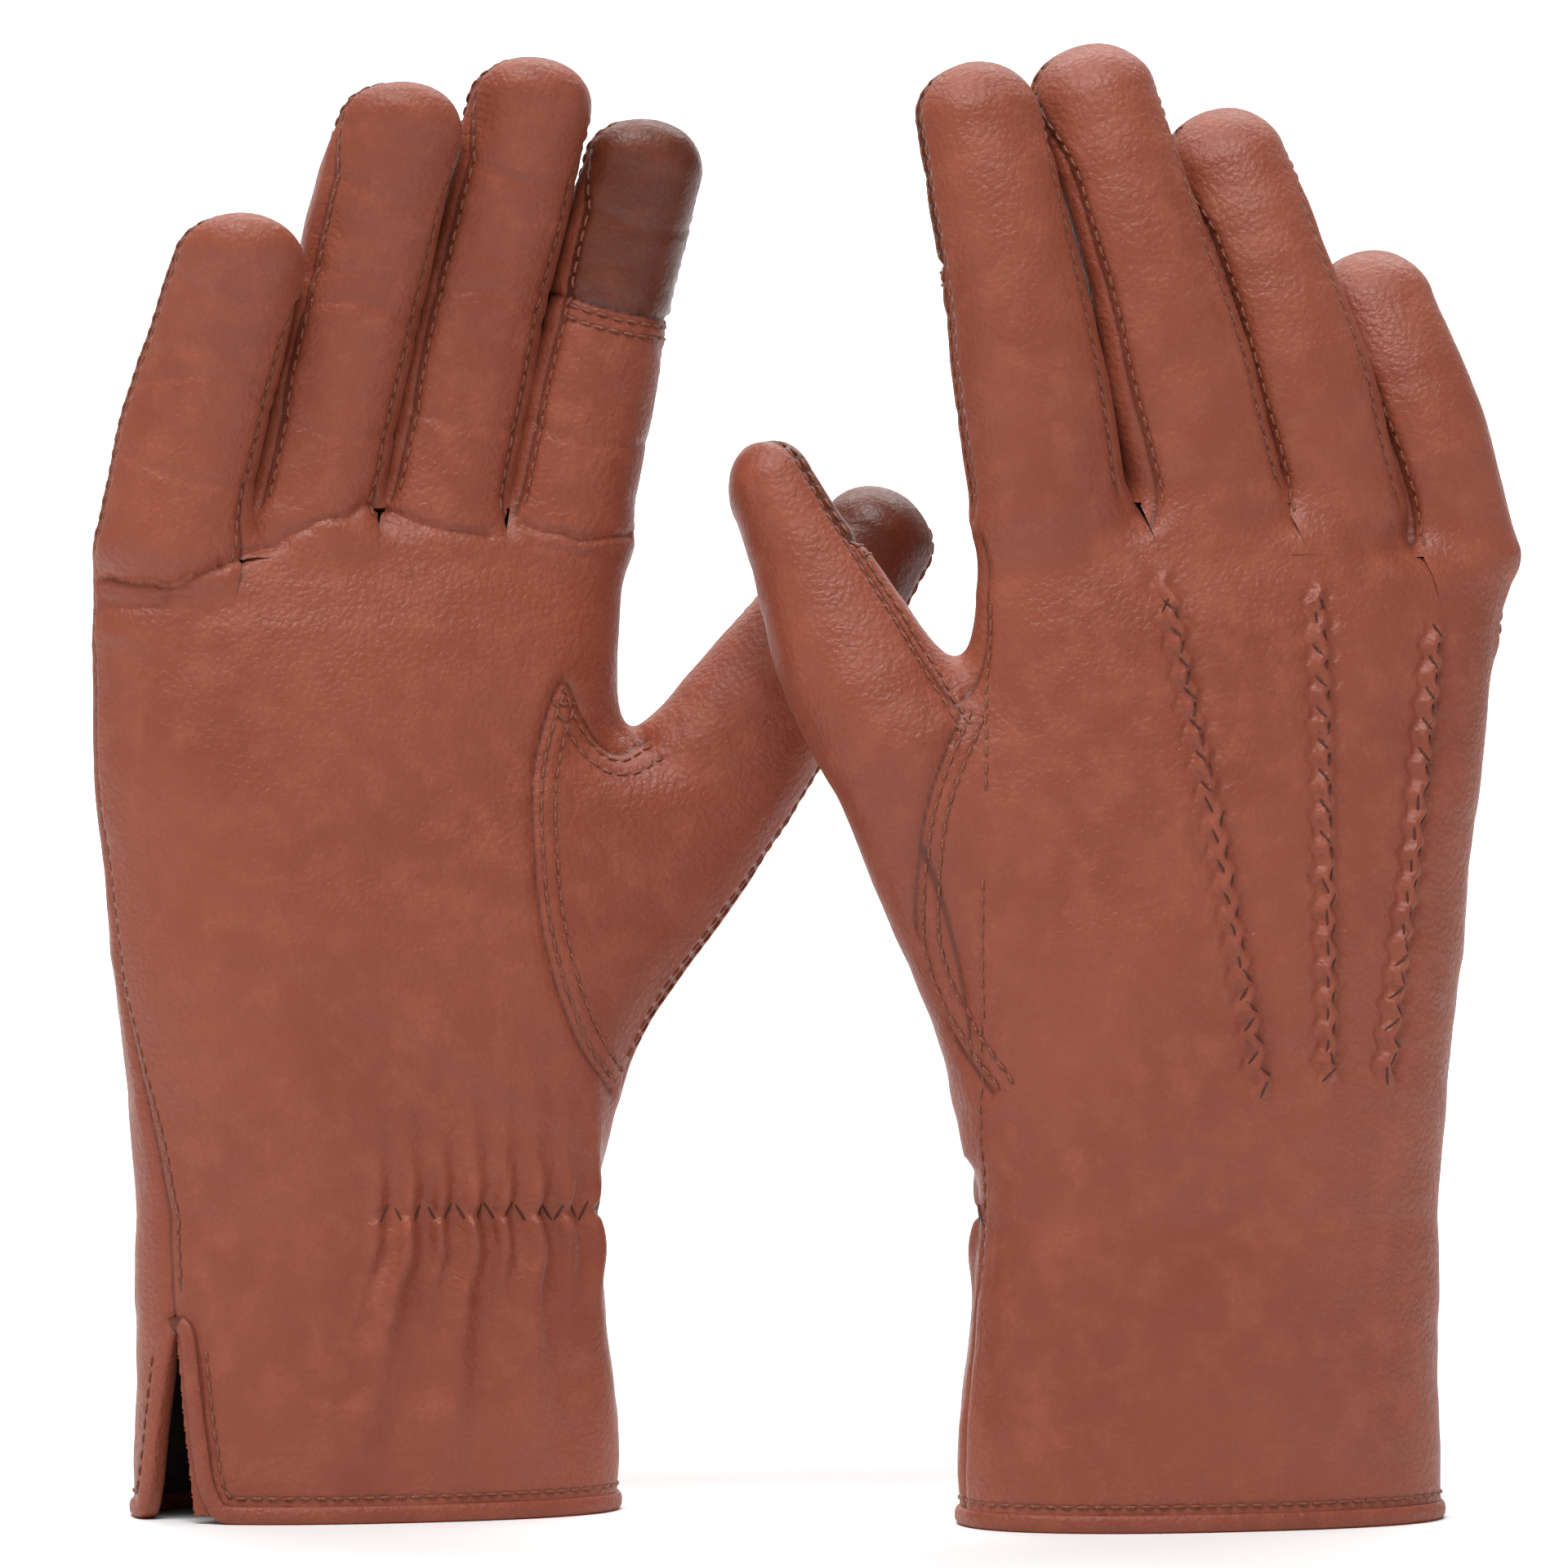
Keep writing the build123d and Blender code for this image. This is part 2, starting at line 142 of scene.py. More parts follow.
PALM_FOLDS = (
    (((-56.0, 163.0), (-47.0, 162.0), (-40.0, 160.5), (-30.0, 165.5)), 0.9),
    (((-54.0, 159.0), (-44.0, 158.0), (-36.0, 160.0)), 0.5),
    (((-30.0, 165.0), (-20.8, 169.0), (-8.0, 174.0), (-4.6, 176.0)), 0.8),
    (((-3.0, 176.0), (5.0, 172.5), (17.5, 171.0)), 0.8),
    (((23.4, 172.5), (33.0, 169.5), (44.0, 171.0)), 0.8),
    (((25.0, 169.0), (34.0, 166.5), (41.0, 167.5)), 0.4),
)


def unit(vectors):
    """Vectors scaled to length one."""
    return vectors / np.maximum(np.linalg.norm(vectors, axis=-1, keepdims=True), 1e-9)


def smoothstep(low, high, value):
    share = np.clip((value - low) / (high - low), 0.0, 1.0)
    return share * share * (3.0 - 2.0 * share)


def smooth_min(a, b, width):
    share = np.clip(0.5 + 0.5 * (b - a) / width, 0.0, 1.0)
    return b + (a - b) * share - width * share * (1.0 - share)


def round_distance(dx, dy, half_width, half_depth, squareness, over, cap):
    """Rough distance to a superelliptic tube that is closed by a dome of height cap."""
    ax, ay = np.abs(dx), np.abs(dy)
    ring = ((ax / half_width) ** squareness + (ay / half_depth) ** squareness) ** (1.0 / squareness)
    ring = np.maximum(ring, 1e-4)
    slope = ring ** (1.0 - squareness) * np.hypot(ax ** (squareness - 1.0) / half_width ** squareness,
                                                  ay ** (squareness - 1.0) / half_depth ** squareness)
    rise = over / cap
    whole = np.hypot(ring, rise)
    return (whole - 1.0) / np.maximum(np.hypot(ring / whole * slope, rise / (cap * whole)), 1e-4)


def round_angle(dx, dy, half_width, half_depth):
    """Angle round a tube, from +x to the back, and the surface length of one radian there."""
    angle = np.arctan2(dy / half_depth, dx / half_width)
    return angle, np.hypot(half_width * np.sin(angle), half_depth * np.cos(angle))


def rim(angle, half_width, half_depth, squareness):
    """Where a superelliptic tube's outline lies at an angle, across and back."""
    c, s = np.cos(angle), np.sin(angle)
    power = 2.0 / squareness
    return half_width * np.sign(c) * np.abs(c) ** power, half_depth * np.sign(s) * np.abs(s) ** power


class Waves:
    """Smooth noise: a seeded sum of sine waves, shorter across some axes than along others."""

    def __init__(self, seed, wavelength, stretch, count=22):
        rng = np.random.default_rng(seed)
        directions = unit(rng.normal(size=(count, 3)))
        lengths = wavelength * rng.uniform(0.7, 1.9, count)
        self.waves = directions / np.array(stretch) * (2.0 * math.pi / lengths)[:, None]
        self.phases = rng.uniform(0.0, 2.0 * math.pi, count)

    def __call__(self, points):
        total = np.zeros(len(points))
        for wave, phase in zip(self.waves, self.phases):
            total += np.sin(points @ wave + phase)
        return total / math.sqrt(len(self.phases) / 2.0)


class Digit:
    """A finger or the thumb, measured on its CAD nodes: origin at its hinge, z along it, x across."""

    def __init__(self, glove, name):
        self.name, self.glove = name, glove
        self.is_thumb = name == "thumb"
        self.body = f"{glove.name}_{name}"
        joint = glove.joints[self.body + ("_swing" if self.is_thumb else "_bend")]
        axis = glove.rotation.T @ np.array(joint["axis"])
        self.tilt = math.acos(min(1.0, axis[1])) if self.is_thumb else 0.0
        lean = math.atan2(axis[0], axis[2]) if self.is_thumb else math.asin(-axis[2])
        self.origin = glove.local(np.array(joint["pos_m"]) / MM)
        across = np.array((math.cos(lean), 0.0, -math.sin(lean)))
        along = np.array((math.sin(lean) * math.cos(self.tilt), -math.sin(self.tilt),
                          math.cos(lean) * math.cos(self.tilt)))
        self.axes = np.array((across, np.cross(along, across), along))
        points, edges = glove.node_mesh(frame["record"]["behaviour"]["bodies"][self.body])
        points = self.inward(points)
        self.length = points[:, 2].max() + GROWTH
        self.straight = self.length - DOME
        self.levels = np.linspace(6.0, self.straight - 1.0, 6)
        sections = np.array([slice_extent(points, edges, level) for level in self.levels])
        self.centres = sections[:, :2]
        self.halves = sections[:, 2:] + (GROWTH if self.is_thumb else FINGER_GROWTH)
        if self.is_thumb:
            taper = THUMB_TAPER[glove.name] * smoothstep(0.35, 1.0, self.levels / self.straight)
            self.centres[:, 0] -= 0.4 * taper * self.halves[:, 0]
            self.halves[:, 0] *= 1.0 - taper
        self.root = ROOT_DEPTH[name]
        self.flare = ROOT_FLARE.get(self.body, 0.0 if self.is_thumb else 0.6)

    def inward(self, points):
        return (points - self.origin) @ self.axes.T

    def outward(self, points):
        return points @ self.axes + self.origin

    def section(self, along):
        """Centre across, centre back, half width and half depth at each distance along."""
        cx, cy = (np.interp(along, self.levels, self.centres[:, i]) for i in (0, 1))
        hw, hd = (np.interp(along, self.levels, self.halves[:, i]) for i in (0, 1))
        below = np.maximum(0.0, -along)
        past = np.maximum(0.0, along - self.levels[-1])
        bow = (self.centres[-1, 1] - self.centres[-2, 1]) / (self.levels[-1] - self.levels[-2])
        cy = cy + bow * past
        hw = hw + self.flare * smoothstep(30.0, 4.0, along)
        if self.is_thumb:
            web = THUMB_WEB_GROWTH[self.glove.name] * np.minimum(THUMB_WEB_LENGTH, below)
            cx, hw = cx - web, hw + web
            cy = cy - below * math.tan(self.tilt)
        return cx, cy, hw, hd

    def distance(self, points):
        q = self.inward(points)
        cx, cy, hw, hd = self.section(q[:, 2])
        over = np.maximum(0.0, q[:, 2] - self.straight)
        value = round_distance(q[:, 0] - cx, q[:, 1] - cy, hw, hd, DIGIT_SQUARENESS, over, DOME)
        if not self.is_thumb:
            value = value + ROOT_SINK * smoothstep(0.5 * self.root, self.root, -q[:, 2])
        return np.maximum(value, -self.root - q[:, 2])

    def narrowing(self, along, least):
        """How much of its width a digit keeps in the dome of its tip."""
        return np.sqrt(np.clip(1.0 - (np.maximum(0.0, along - self.straight) / DOME) ** 2, least, 1.0))

    def polar(self, points):
        """Distance along, angle round and the surface length of one radian."""
        q = self.inward(points)
        cx, cy, hw, hd = self.section(q[:, 2])
        angle, radian = round_angle(q[:, 0] - cx, q[:, 1] - cy, hw, hd)
        return q[:, 2], angle, radian * self.narrowing(q[:, 2], 0.02)

    def surface_point(self, along, angle):
        """A point near the skin, at a distance along and an angle round."""
        cx, cy, hw, hd = self.section(along)
        tip = self.narrowing(along, 0.0)
        dx, dy = rim(angle, hw * tip, hd * tip, DIGIT_SQUARENESS)
        return self.outward(np.stack((cx + dx, cy + dy, along), axis=-1))

    def gusset_half_angle(self, along):
        share = np.clip(along / self.straight, 0.0, 1.0)
        open_part = 1.0 - smoothstep(self.straight - 12.0, self.straight + 4.0, along)
        return math.radians(GUSSET_ANGLE) * (1.0 - 0.3 * share) * open_part

    def gusset_sides(self):
        """Angles of the sides that face a neighbouring finger."""
        return [0.0] * (self.name in FINGERS[1:]) + [math.pi] * (self.name in FINGERS[:-1])


def wrap(angle):
    return (angle + math.pi) % (2.0 * math.pi) - math.pi


def slice_extent(points, edges, level):
    """Centre and half size, across and back, of the outline that a level plane cuts."""
    a, b = points[edges[:, 0]], points[edges[:, 1]]
    cut = (a[:, 2] - level) * (b[:, 2] - level) < 0.0
    a, b = a[cut], b[cut]
    share = ((level - a[:, 2]) / (b[:, 2] - a[:, 2]))[:, None]
    spots = (a + share * (b - a))[:, :2]
    low, high = spots.min(axis=0), spots.max(axis=0)
    return np.concatenate(((low + high) / 2.0, (high - low) / 2.0))


class Glove:
    """One glove: where it stands in the row, and the distance field of its skin."""

    def __init__(self, name):
        self.name = name
        self.hand_body = f"{name}_hand"
        self.joints = {j["name"]: j for j in frame["record"]["behaviour"]["joints"]}
        axis = self.joints[f"{name}_index_bend"]["axis"]
        turn = math.atan2(axis[1], axis[0])
        c, s = math.cos(turn), math.sin(turn)
        self.rotation = np.array(((c, -s, 0.0), (s, c, 0.0), (0.0, 0.0, 1.0)))
        low, high = (np.array(corner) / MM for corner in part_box(f"{name}_hem_binding"))
        self.place = np.array(((low[0] + high[0]) / 2.0, (low[1] + high[1]) / 2.0, 0.0))
        self.digits = [Digit(self, digit) for digit in (*FINGERS, "thumb")]
        self.by_name = {digit.name: digit for digit in self.digits}

    def local(self, points):
        return (points - self.place) @ self.rotation

    def row(self, points):
        return points @ self.rotation.T + self.place

    def node_mesh(self, nodes):
        """Local points and edges of some CAD nodes."""
        points, edges, count = [], [], 0
        for node in nodes:
            mesh = frame["nodes"][node].data
            co = np.empty(len(mesh.vertices) * 3)
            mesh.vertices.foreach_get("co", co)
            pair = np.empty(len(mesh.edges) * 2, dtype=np.int64)
            mesh.edges.foreach_get("vertices", pair)
            points.append(self.local(co.reshape(-1, 3) / MM))
            edges.append(pair.reshape(-1, 2) + count)
            count += len(mesh.vertices)
        return np.concatenate(points), np.concatenate(edges)

    def hand_section(self, z):
        """Centre across, half width and half depth of the hand at each height."""
        centre, hw, hd = (np.interp(z, HAND_SECTIONS[:, 0], HAND_SECTIONS[:, i]) for i in (1, 2, 3))
        rise = np.clip((z - KNUCKLE_START) / (KNUCKLE_END - KNUCKLE_START), 0.0, 1.0)
        return centre + KNUCKLE_SHIFT[self.name] * rise, hw + GROWTH, hd + GROWTH

    def hand_distance(self, points):
        centre, hw, hd = self.hand_section(points[:, 2])
        top = HAND_CAP - HAND_CAP_DROP * smoothstep(-14.0, -34.0, points[:, 0])
        over = np.maximum(0.0, points[:, 2] - top)
        across = points[:, 0] - centre
        return round_distance(across, points[:, 1], hw, hd, HAND_SQUARENESS, over, HAND_CAP_HEIGHT)

    def hand_polar(self, points):
        centre, hw, hd = self.hand_section(points[:, 2])
        return round_angle(points[:, 0] - centre, points[:, 1], hw, hd)

    def hand_point(self, angle, z):
        centre, hw, hd = self.hand_section(z)
        dx, dy = rim(angle, hw, hd, HAND_SQUARENESS)
        return np.stack((centre + dx, dy, z + 0.0 * angle), axis=-1)

    def field(self, points, focus=None):
        """Distance to the skin. With a finger as focus, its neighbours fade out above the crotch."""
        value = self.hand_distance(points)
        for digit in self.digits:
            if focus is not None and digit.is_thumb:
                continue
            near = digit.distance(points)
            if focus is not None and digit is not focus:
                low = crotch_height(digit, focus)
                near = near + NEIGHBOUR_FADE * smoothstep(low, low + 12.0, points[:, 2])
            value = smooth_min(value, near, WEB_BLEND[digit.name])
        return value

    def gradient(self, points, focus=None):
        """The field at some points, and its slope there."""
        here = self.field(points, focus)
        steps = SLOPE_REACH * np.eye(3)
        slopes = [(self.field(points + step, focus) - here) / SLOPE_REACH for step in steps]
        return here, np.stack(slopes, axis=-1)


def crotch_height(finger, other):
    return LITTLE_CROTCH if "little" in (finger.name, other.name) else CROTCH


# ---- meshing the field ----
def surface_net(values, low, step):
    """Points and quads on the zero level of a grid of values, facing the positive side."""
    inside = values < 0.0
    nx, ny, nz = (n - 1 for n in values.shape)
    count = np.zeros((nx, ny, nz), dtype=np.int8)
    for i, j, k in np.ndindex(2, 2, 2):
        count += inside[i:i + nx, j:j + ny, k:k + nz]
    mixed = (count > 0) & (count < 8)
    cells = np.argwhere(mixed)
    index = np.full(mixed.shape, -1, dtype=np.int64)
    index[mixed] = np.arange(len(cells))
    total, number = np.zeros((len(cells), 3)), np.zeros(len(cells))
    for axis in range(3):
        for corner in np.ndindex(2, 2):
            start = np.insert(corner, axis, 0)
            end = np.insert(corner, axis, 1)
            a = values[tuple((cells + start).T)]
            b = values[tuple((cells + end).T)]
            crossed = (a < 0.0) != (b < 0.0)
            share = a[crossed] / (a[crossed] - b[crossed])
            spot = np.tile(start.astype(float), (len(share), 1))
            spot[:, axis] = share
            total[crossed] += spot
            number[crossed] += 1
    points = low + step * (cells + total / number[:, None])
    quads = []
    for axis in range(3):
        b, c = (axis + 1) % 3, (axis + 2) % 3
        spots = np.argwhere(np.diff(inside, axis=axis))
        keep = (spots[:, b] > 0) & (spots[:, c] > 0)
        keep &= (spots[:, b] < index.shape[b]) & (spots[:, c] < index.shape[c])
        spots = spots[keep]
        step_b, step_c = np.eye(3, dtype=np.int64)[[b, c]]
        shifts = (0 * step_b, step_b, step_b + step_c, step_c)
        quad = np.stack([index[tuple((spots - shift).T)] for shift in shifts], axis=-1)
        flip = ~inside[tuple(spots.T)]
        quad[flip] = quad[flip][:, ::-1]
        quads.append(quad)
    return points, np.concatenate(quads)


def sample(glove, low, high, step, focus=None, offset=0.0):
    """The field on a grid, coarse far from the skin and fine near it, meshed on its zero level."""
    coarse = COARSE * step
    counts = [int(math.ceil((b - a) / coarse)) + 1 for a, b in zip(low, high)]
    axes = [a + coarse * np.arange(n) for a, n in zip(low, counts)]
    grid = np.stack(np.meshgrid(*axes, indexing="ij"), axis=-1).reshape(-1, 3)
    values = (glove.field(grid, focus) + offset).reshape(counts)
    for axis in range(3):
        values = np.repeat(values, COARSE, axis=axis)
    near = np.argwhere(np.abs(values) < 1.6 * coarse)
    spots = np.array(low) + step * (near - COARSE // 2)
    values[tuple(near.T)] = glove.field(spots, focus) + offset
    points, quads = surface_net(values, np.array(low) - step * (COARSE // 2), step)
    for _ in range(3):
        here, slope = glove.gradient(points, focus)
        size = np.maximum((slope ** 2).sum(axis=1), 0.05)
        points = points - ((here + offset) / size)[:, None] * slope
    return points, quads


def clipped(points, quads, planes):
    """Triangles on the inner side of each plane: a point, an outward normal and how high it cuts."""
    bm = bmesh.new()
    mesh = bpy.data.meshes.new("clip")
    fill_mesh(mesh, points, quads)
    bm.from_mesh(mesh)
    for spot, normal, *top in planes:
        geometry = bm.verts[:] + bm.edges[:] + bm.faces[:]
        if top:
            low_faces = [face for face in bm.faces if face.calc_center_median().z < top[0]]
            geometry = low_faces + list(dict.fromkeys(e for face in low_faces for e in face.edges))
            geometry += list(dict.fromkeys(vert for face in low_faces for vert in face.verts))
        bmesh.ops.bisect_plane(bm, geom=geometry, plane_co=spot, plane_no=normal, clear_outer=True, dist=1e-5)
    bmesh.ops.triangulate(bm, faces=bm.faces)
    bm.to_mesh(mesh)
    bm.free()
    points = np.empty(len(mesh.vertices) * 3)
    mesh.vertices.foreach_get("co", points)
    faces = np.empty(len(mesh.polygons) * 3, dtype=np.int64)
    mesh.polygons.foreach_get("vertices", faces)
    bpy.data.meshes.remove(mesh)
    return points.reshape(-1, 3), faces.reshape(-1, 3)


def fill_mesh(mesh, points, faces):
    count, size = faces.shape
    mesh.vertices.add(len(points))
    mesh.vertices.foreach_set("co", np.ascontiguousarray(points, dtype=np.float32).ravel())
    mesh.loops.add(count * size)
    mesh.loops.foreach_set("vertex_index", np.ascontiguousarray(faces, dtype=np.int32).ravel())
    mesh.polygons.add(count)
    mesh.polygons.foreach_set("loop_start", np.arange(0, count * size, size, dtype=np.int32))
    mesh.update(calc_edges=True)
    mesh.validate()


def vertex_normals(points, faces):
    a, b, c = (points[faces[:, i]] for i in range(3))
    face = np.cross(b - a, c - a)
    total = np.zeros_like(points)
    for i in range(3):
        np.add.at(total, faces[:, i], face)
    return unit(total)


def pick(faces, chosen):
    """The chosen faces and the numbers of the points that they use."""
    faces = faces[chosen]
    used, packed = np.unique(faces, return_inverse=True)
    return used, packed.reshape(-1, 3)


# ---- where the seams run ----
BACK_HOLE = ((44.0, 140.0), (50.2, 127.0), (52.0, 114.6), (51.7, 100.4), (48.0, 89.0), (40.0, 74.5))
GUSSET_START = -15.0
FAR = 99.0


def line_distance(px, pz, line):
    """Distance in the x-z plane to a polyline."""
    best = np.full(len(px), FAR)
    for (ax, az), (bx, bz) in zip(line, line[1:]):
        run_x, run_z = bx - ax, bz - az
        share = ((px - ax) * run_x + (pz - az) * run_z) / (run_x ** 2 + run_z ** 2)
        share = np.clip(share, 0.0, 1.0)
        best = np.minimum(best, np.hypot(px - ax - share * run_x, pz - az - share * run_z))
    return best


def in_outline(px, pz, outline):
    inside = np.zeros(len(px), dtype=bool)
    for (ax, az), (bx, bz) in zip(outline, outline[1:] + outline[:1]):
        crosses = (az > pz) != (bz > pz)
        edge = ax + (pz - az) / np.where(bz == az, 1e-9, bz - az) * (bx - ax)
        inside ^= crosses & (px < edge)
    return inside


def rounded(line):
    """The line with its corners cut back three times."""
    points = [np.array(p, float) for p in line]
    for _ in range(3):
        cut = [points[0]]
        for a, b in zip(points, points[1:]):
            cut += [0.75 * a + 0.25 * b, 0.25 * a + 0.75 * b]
        points = cut + [points[-1]]
    return [tuple(p) for p in points]


PALM_HOLE_LINE = rounded(THUMB_HOLE)
BACK_HOLE_LINE = rounded(BACK_HOLE)
ROUND_THUMB = [(38.0, 55.0), (130.0, 55.0), (130.0, 160.0), (44.0, 160.0)]


def ulnar_angle(z):
    """Angle round the hand at which palm and back meet on the little-finger side."""
    return -math.pi + np.radians(np.interp(z, ULNAR_SEAM_HEIGHTS, ULNAR_SEAM_DEGREES))


def radial_angle(z):
    return math.radians(RADIAL_SEAM_DEGREES) * smoothstep(50.0, 90.0, z)


def in_vent(glove, points):
    angle, radian = glove.hand_polar(points)
    gap = np.abs(wrap(angle - ulnar_angle(points[:, 2]))) * radian
    return gap < VENT_HALF_WIDTH * (1.0 - points[:, 2] / VENT_HEIGHT)


def thumb_touch_start(thumb, angle):
    return thumb.length - THUMB_TOUCH_LENGTH - 3.0 * np.cos(angle)


def index_touch_start(index, angle):
    return index.length - INDEX_TOUCH_LENGTH + 1.5 * np.cos(angle) ** 2


def hand_parts(glove, points):
    """Name of the leather piece that each point of the hand and thumb belongs to."""
    x, y, z = points.T
    thumb = glove.by_name["thumb"]
    angle, _ = glove.hand_polar(points)
    on_thumb = np.where(y < 0.0, in_outline(x, z, PALM_HOLE_LINE + ROUND_THUMB),
                        in_outline(x, z, BACK_HOLE_LINE + ROUND_THUMB))
    on_thumb |= (z > 150.0) & (x > ROUND_THUMB[-1][0])
    along, around, _ = thumb.polar(points)
    palm_half = np.sin(around - math.radians(THUMB_ROLL[glove.name])) < 0.0
    touch = palm_half & (along > thumb_touch_start(thumb, around))
    palm = (angle > ulnar_angle(z)) & (angle < radial_angle(z))
    of_thumb = np.where(touch, "thumb_touch_tip", np.where(palm_half, "thumb_front", "thumb_back"))
    return np.where(on_thumb, of_thumb, np.where(palm, "palm_panel", "back_panel"))


def hand_seams(glove, points):
    """Distance to the nearest seam of the hand and thumb."""
    x, y, z = points.T
    angle, radian = glove.hand_polar(points)
    thumb = glove.by_name["thumb"]
    along, around, thumb_radian = thumb.polar(points)
    on_thumb = np.char.startswith(hand_parts(glove, points), "thumb")
    ulnar = np.abs(wrap(angle - ulnar_angle(z))) * radian
    radial = np.abs(wrap(angle - radial_angle(z))) * radian
    palm_hole, back_hole = (line_distance(x, z, line) for line in (PALM_HOLE_LINE, BACK_HOLE_LINE))
    roll = math.radians(THUMB_ROLL[glove.name])
    outer = np.hypot(wrap(around - roll) * thumb_radian, np.maximum(0.0, -50.0 - along))
    inner = np.hypot(wrap(around - roll - math.pi) * thumb_radian, np.maximum(0.0, -6.0 - along))
    palm_half = np.sin(around - roll) < 0.0
    edge = np.abs(along - thumb_touch_start(thumb, around))
    seams = (ulnar, np.where(on_thumb, FAR, radial), np.where(y < 0.0, palm_hole, back_hole),
             np.where(on_thumb, np.minimum(outer, inner), FAR), np.where(on_thumb & palm_half, edge, FAR))
    return np.min(seams, axis=0)


def finger_parts(finger, points):
    along, angle, _ = finger.polar(points)
    names = np.full(len(points), "stall", dtype="<U12")
    if finger.name == "index":
        names[(np.sin(angle) < 0.0) & (along > index_touch_start(finger, angle))] = "touch_tip"
    for side in finger.gusset_sides():
        strip = np.abs(wrap(angle - side)) < finger.gusset_half_angle(along)
        names[strip & (along > GUSSET_START)] = "gussets"
    return names


def finger_seams(finger, points):
    along, angle, radian = finger.polar(points)
    below = np.maximum(0.0, GUSSET_START - along)
    half = finger.gusset_half_angle(along)
    seams = []
    for side in (0.0, math.pi):
        away = np.abs(wrap(angle - side))
        open_half = half if side in finger.gusset_sides() else 0.0
        seams.append(np.hypot(np.abs(away - open_half) * radian, below))
    if finger.name == "index":
        edge = np.abs(along - index_touch_start(finger, angle))
        seams.append(np.where(np.sin(angle) < 0.1, edge, FAR))
    return np.min(seams, axis=0)


# ---- folds, pleats and wrinkles ----
UNDULATION = Waves(3, 26.0, (1.0, 1.0, 1.4))
SOFT_FOLDS = Waves(11, 13.0, (1.6, 1.0, 0.8))
FINE_FOLDS = Waves(29, 5.5, (1.8, 1.0, 0.8), count=34)


def bump_line(gap, width):
    return np.exp(-(gap / width) ** 2)


def seam_relief(gap):
    return -0.42 * bump_line(gap, 0.5) - 0.30 * bump_line(gap, 1.6) + 0.16 * bump_line(gap - 2.6, 1.5)


def leather_waves(points):
    return 0.26 * UNDULATION(points) + 0.07 * SOFT_FOLDS(points) + 0.015 * FINE_FOLDS(points)


def palm_folds(points):
    """Creases across the palm side, at the roots of the fingers."""
    x, y, z = points.T
    palm = smoothstep(0.0, -6.0, y)
    relief = np.zeros(len(points))
    for line, depth in PALM_FOLDS:
        gap = line_distance(x, z + 0.35 * FINE_FOLDS(points), line)
        relief -= depth * bump_line(gap, 0.75) + 0.45 * depth * bump_line(gap, 2.2)
    return palm * relief


def pleats(points):
    """Gathers that fan out above and below the wrist elastic, on the palm side."""
    x, y, z = points.T
    wander = 0.35 * SOFT_FOLDS(points * np.array((0.15, 0.15, 0.8)))
    below = np.maximum(0.0, ELASTIC_Z - z)
    above = np.maximum(0.0, z - ELASTIC_Z)
    spread = (x - ELASTIC_CENTRE - 6.0) / (1.0 + 0.011 * below + 0.004 * above)
    narrow = 0.5 + 0.5 * np.cos(2.0 * math.pi * (spread + wander) / PLEAT_PITCH)
    broad = 0.5 + 0.5 * np.cos(2.0 * math.pi * (spread + 1.6 * wander + 1.2) / (1.93 * PLEAT_PITCH))
    gather = smoothstep(0.0, 2.0, below + above)
    fade = np.exp(-below / 13.0 - above / 8.0)
    relief = (3.0 * narrow ** 1.4 - 1.1) * fade * (0.45 + 0.55 * gather)
    long_fade = (np.exp(-below / 32.0) - 0.7 * np.exp(-below / 7.0)) * np.exp(-above / 7.0)
    relief += (3.4 * broad ** 1.3 - 1.2) * long_fade
    relief -= 0.7 * bump_line(z - ELASTIC_Z, 2.2)
    relief = -smooth_min(-relief, PLEAT_DEPTH, 0.5)
    reach = smoothstep(ELASTIC_REACH + 5.0, ELASTIC_REACH - 4.0, np.abs(x - ELASTIC_CENTRE) - 0.12 * below)
    return smoothstep(1.0, -5.0, y) * reach * smoothstep(5.0, 14.0, z) * relief


def point_ridges(points):
    """Three raised lines of stitching on the back, drawn side to side by their thread."""
    x, y, z = points.T
    relief = np.zeros(len(points))
    for top, low in BACK_POINTS:
        length = math.dist(top, low)
        run_x, run_z = (low[0] - top[0]) / length, (low[1] - top[1]) / length
        along = (x - top[0]) * run_x + (z - top[1]) * run_z
        aside = (x - top[0]) * run_z - (z - top[1]) * run_x
        aside = aside - 0.55 * np.sin(2.0 * math.pi * along / POINT_PITCH)
        within = smoothstep(-1.0, 3.0, along) * smoothstep(length + 1.0, length - 3.0, along)
        ridge = 1.35 * bump_line(aside, 1.1) - 0.5 * bump_line(np.abs(aside) - 2.1, 0.75)
        relief += within * ridge - within * 0.35 * bump_line(aside, 5.0)
    return smoothstep(-2.0, 4.0, y) * relief


def hand_relief(points):
    return leather_waves(points) + palm_folds(points) + pleats(points) + point_ridges(points)


def finger_relief(finger, points):
    along, angle, _ = finger.polar(points)
    above = smoothstep(SPLIT_HEIGHT + 2.0, SPLIT_HEIGHT + 14.0, points[:, 2])
    relief = leather_waves(points) + palm_folds(points)
    palm = smoothstep(0.2, -0.6, np.sin(angle))
    for place, depth in ((0.02, 0.35), (0.34, 0.40), (0.42, 0.28), (0.68, 0.30)):
        bend = 1.6 * np.cos(angle * 2.0 + place * 9.0)
        relief -= palm * above * depth * bump_line(along - place * finger.length - bend, 1.2)
    return relief


# ---- materials ----
def linear(*colour):
    return tuple((c / 255.0) ** 2.2 for c in colour) + (1.0,)


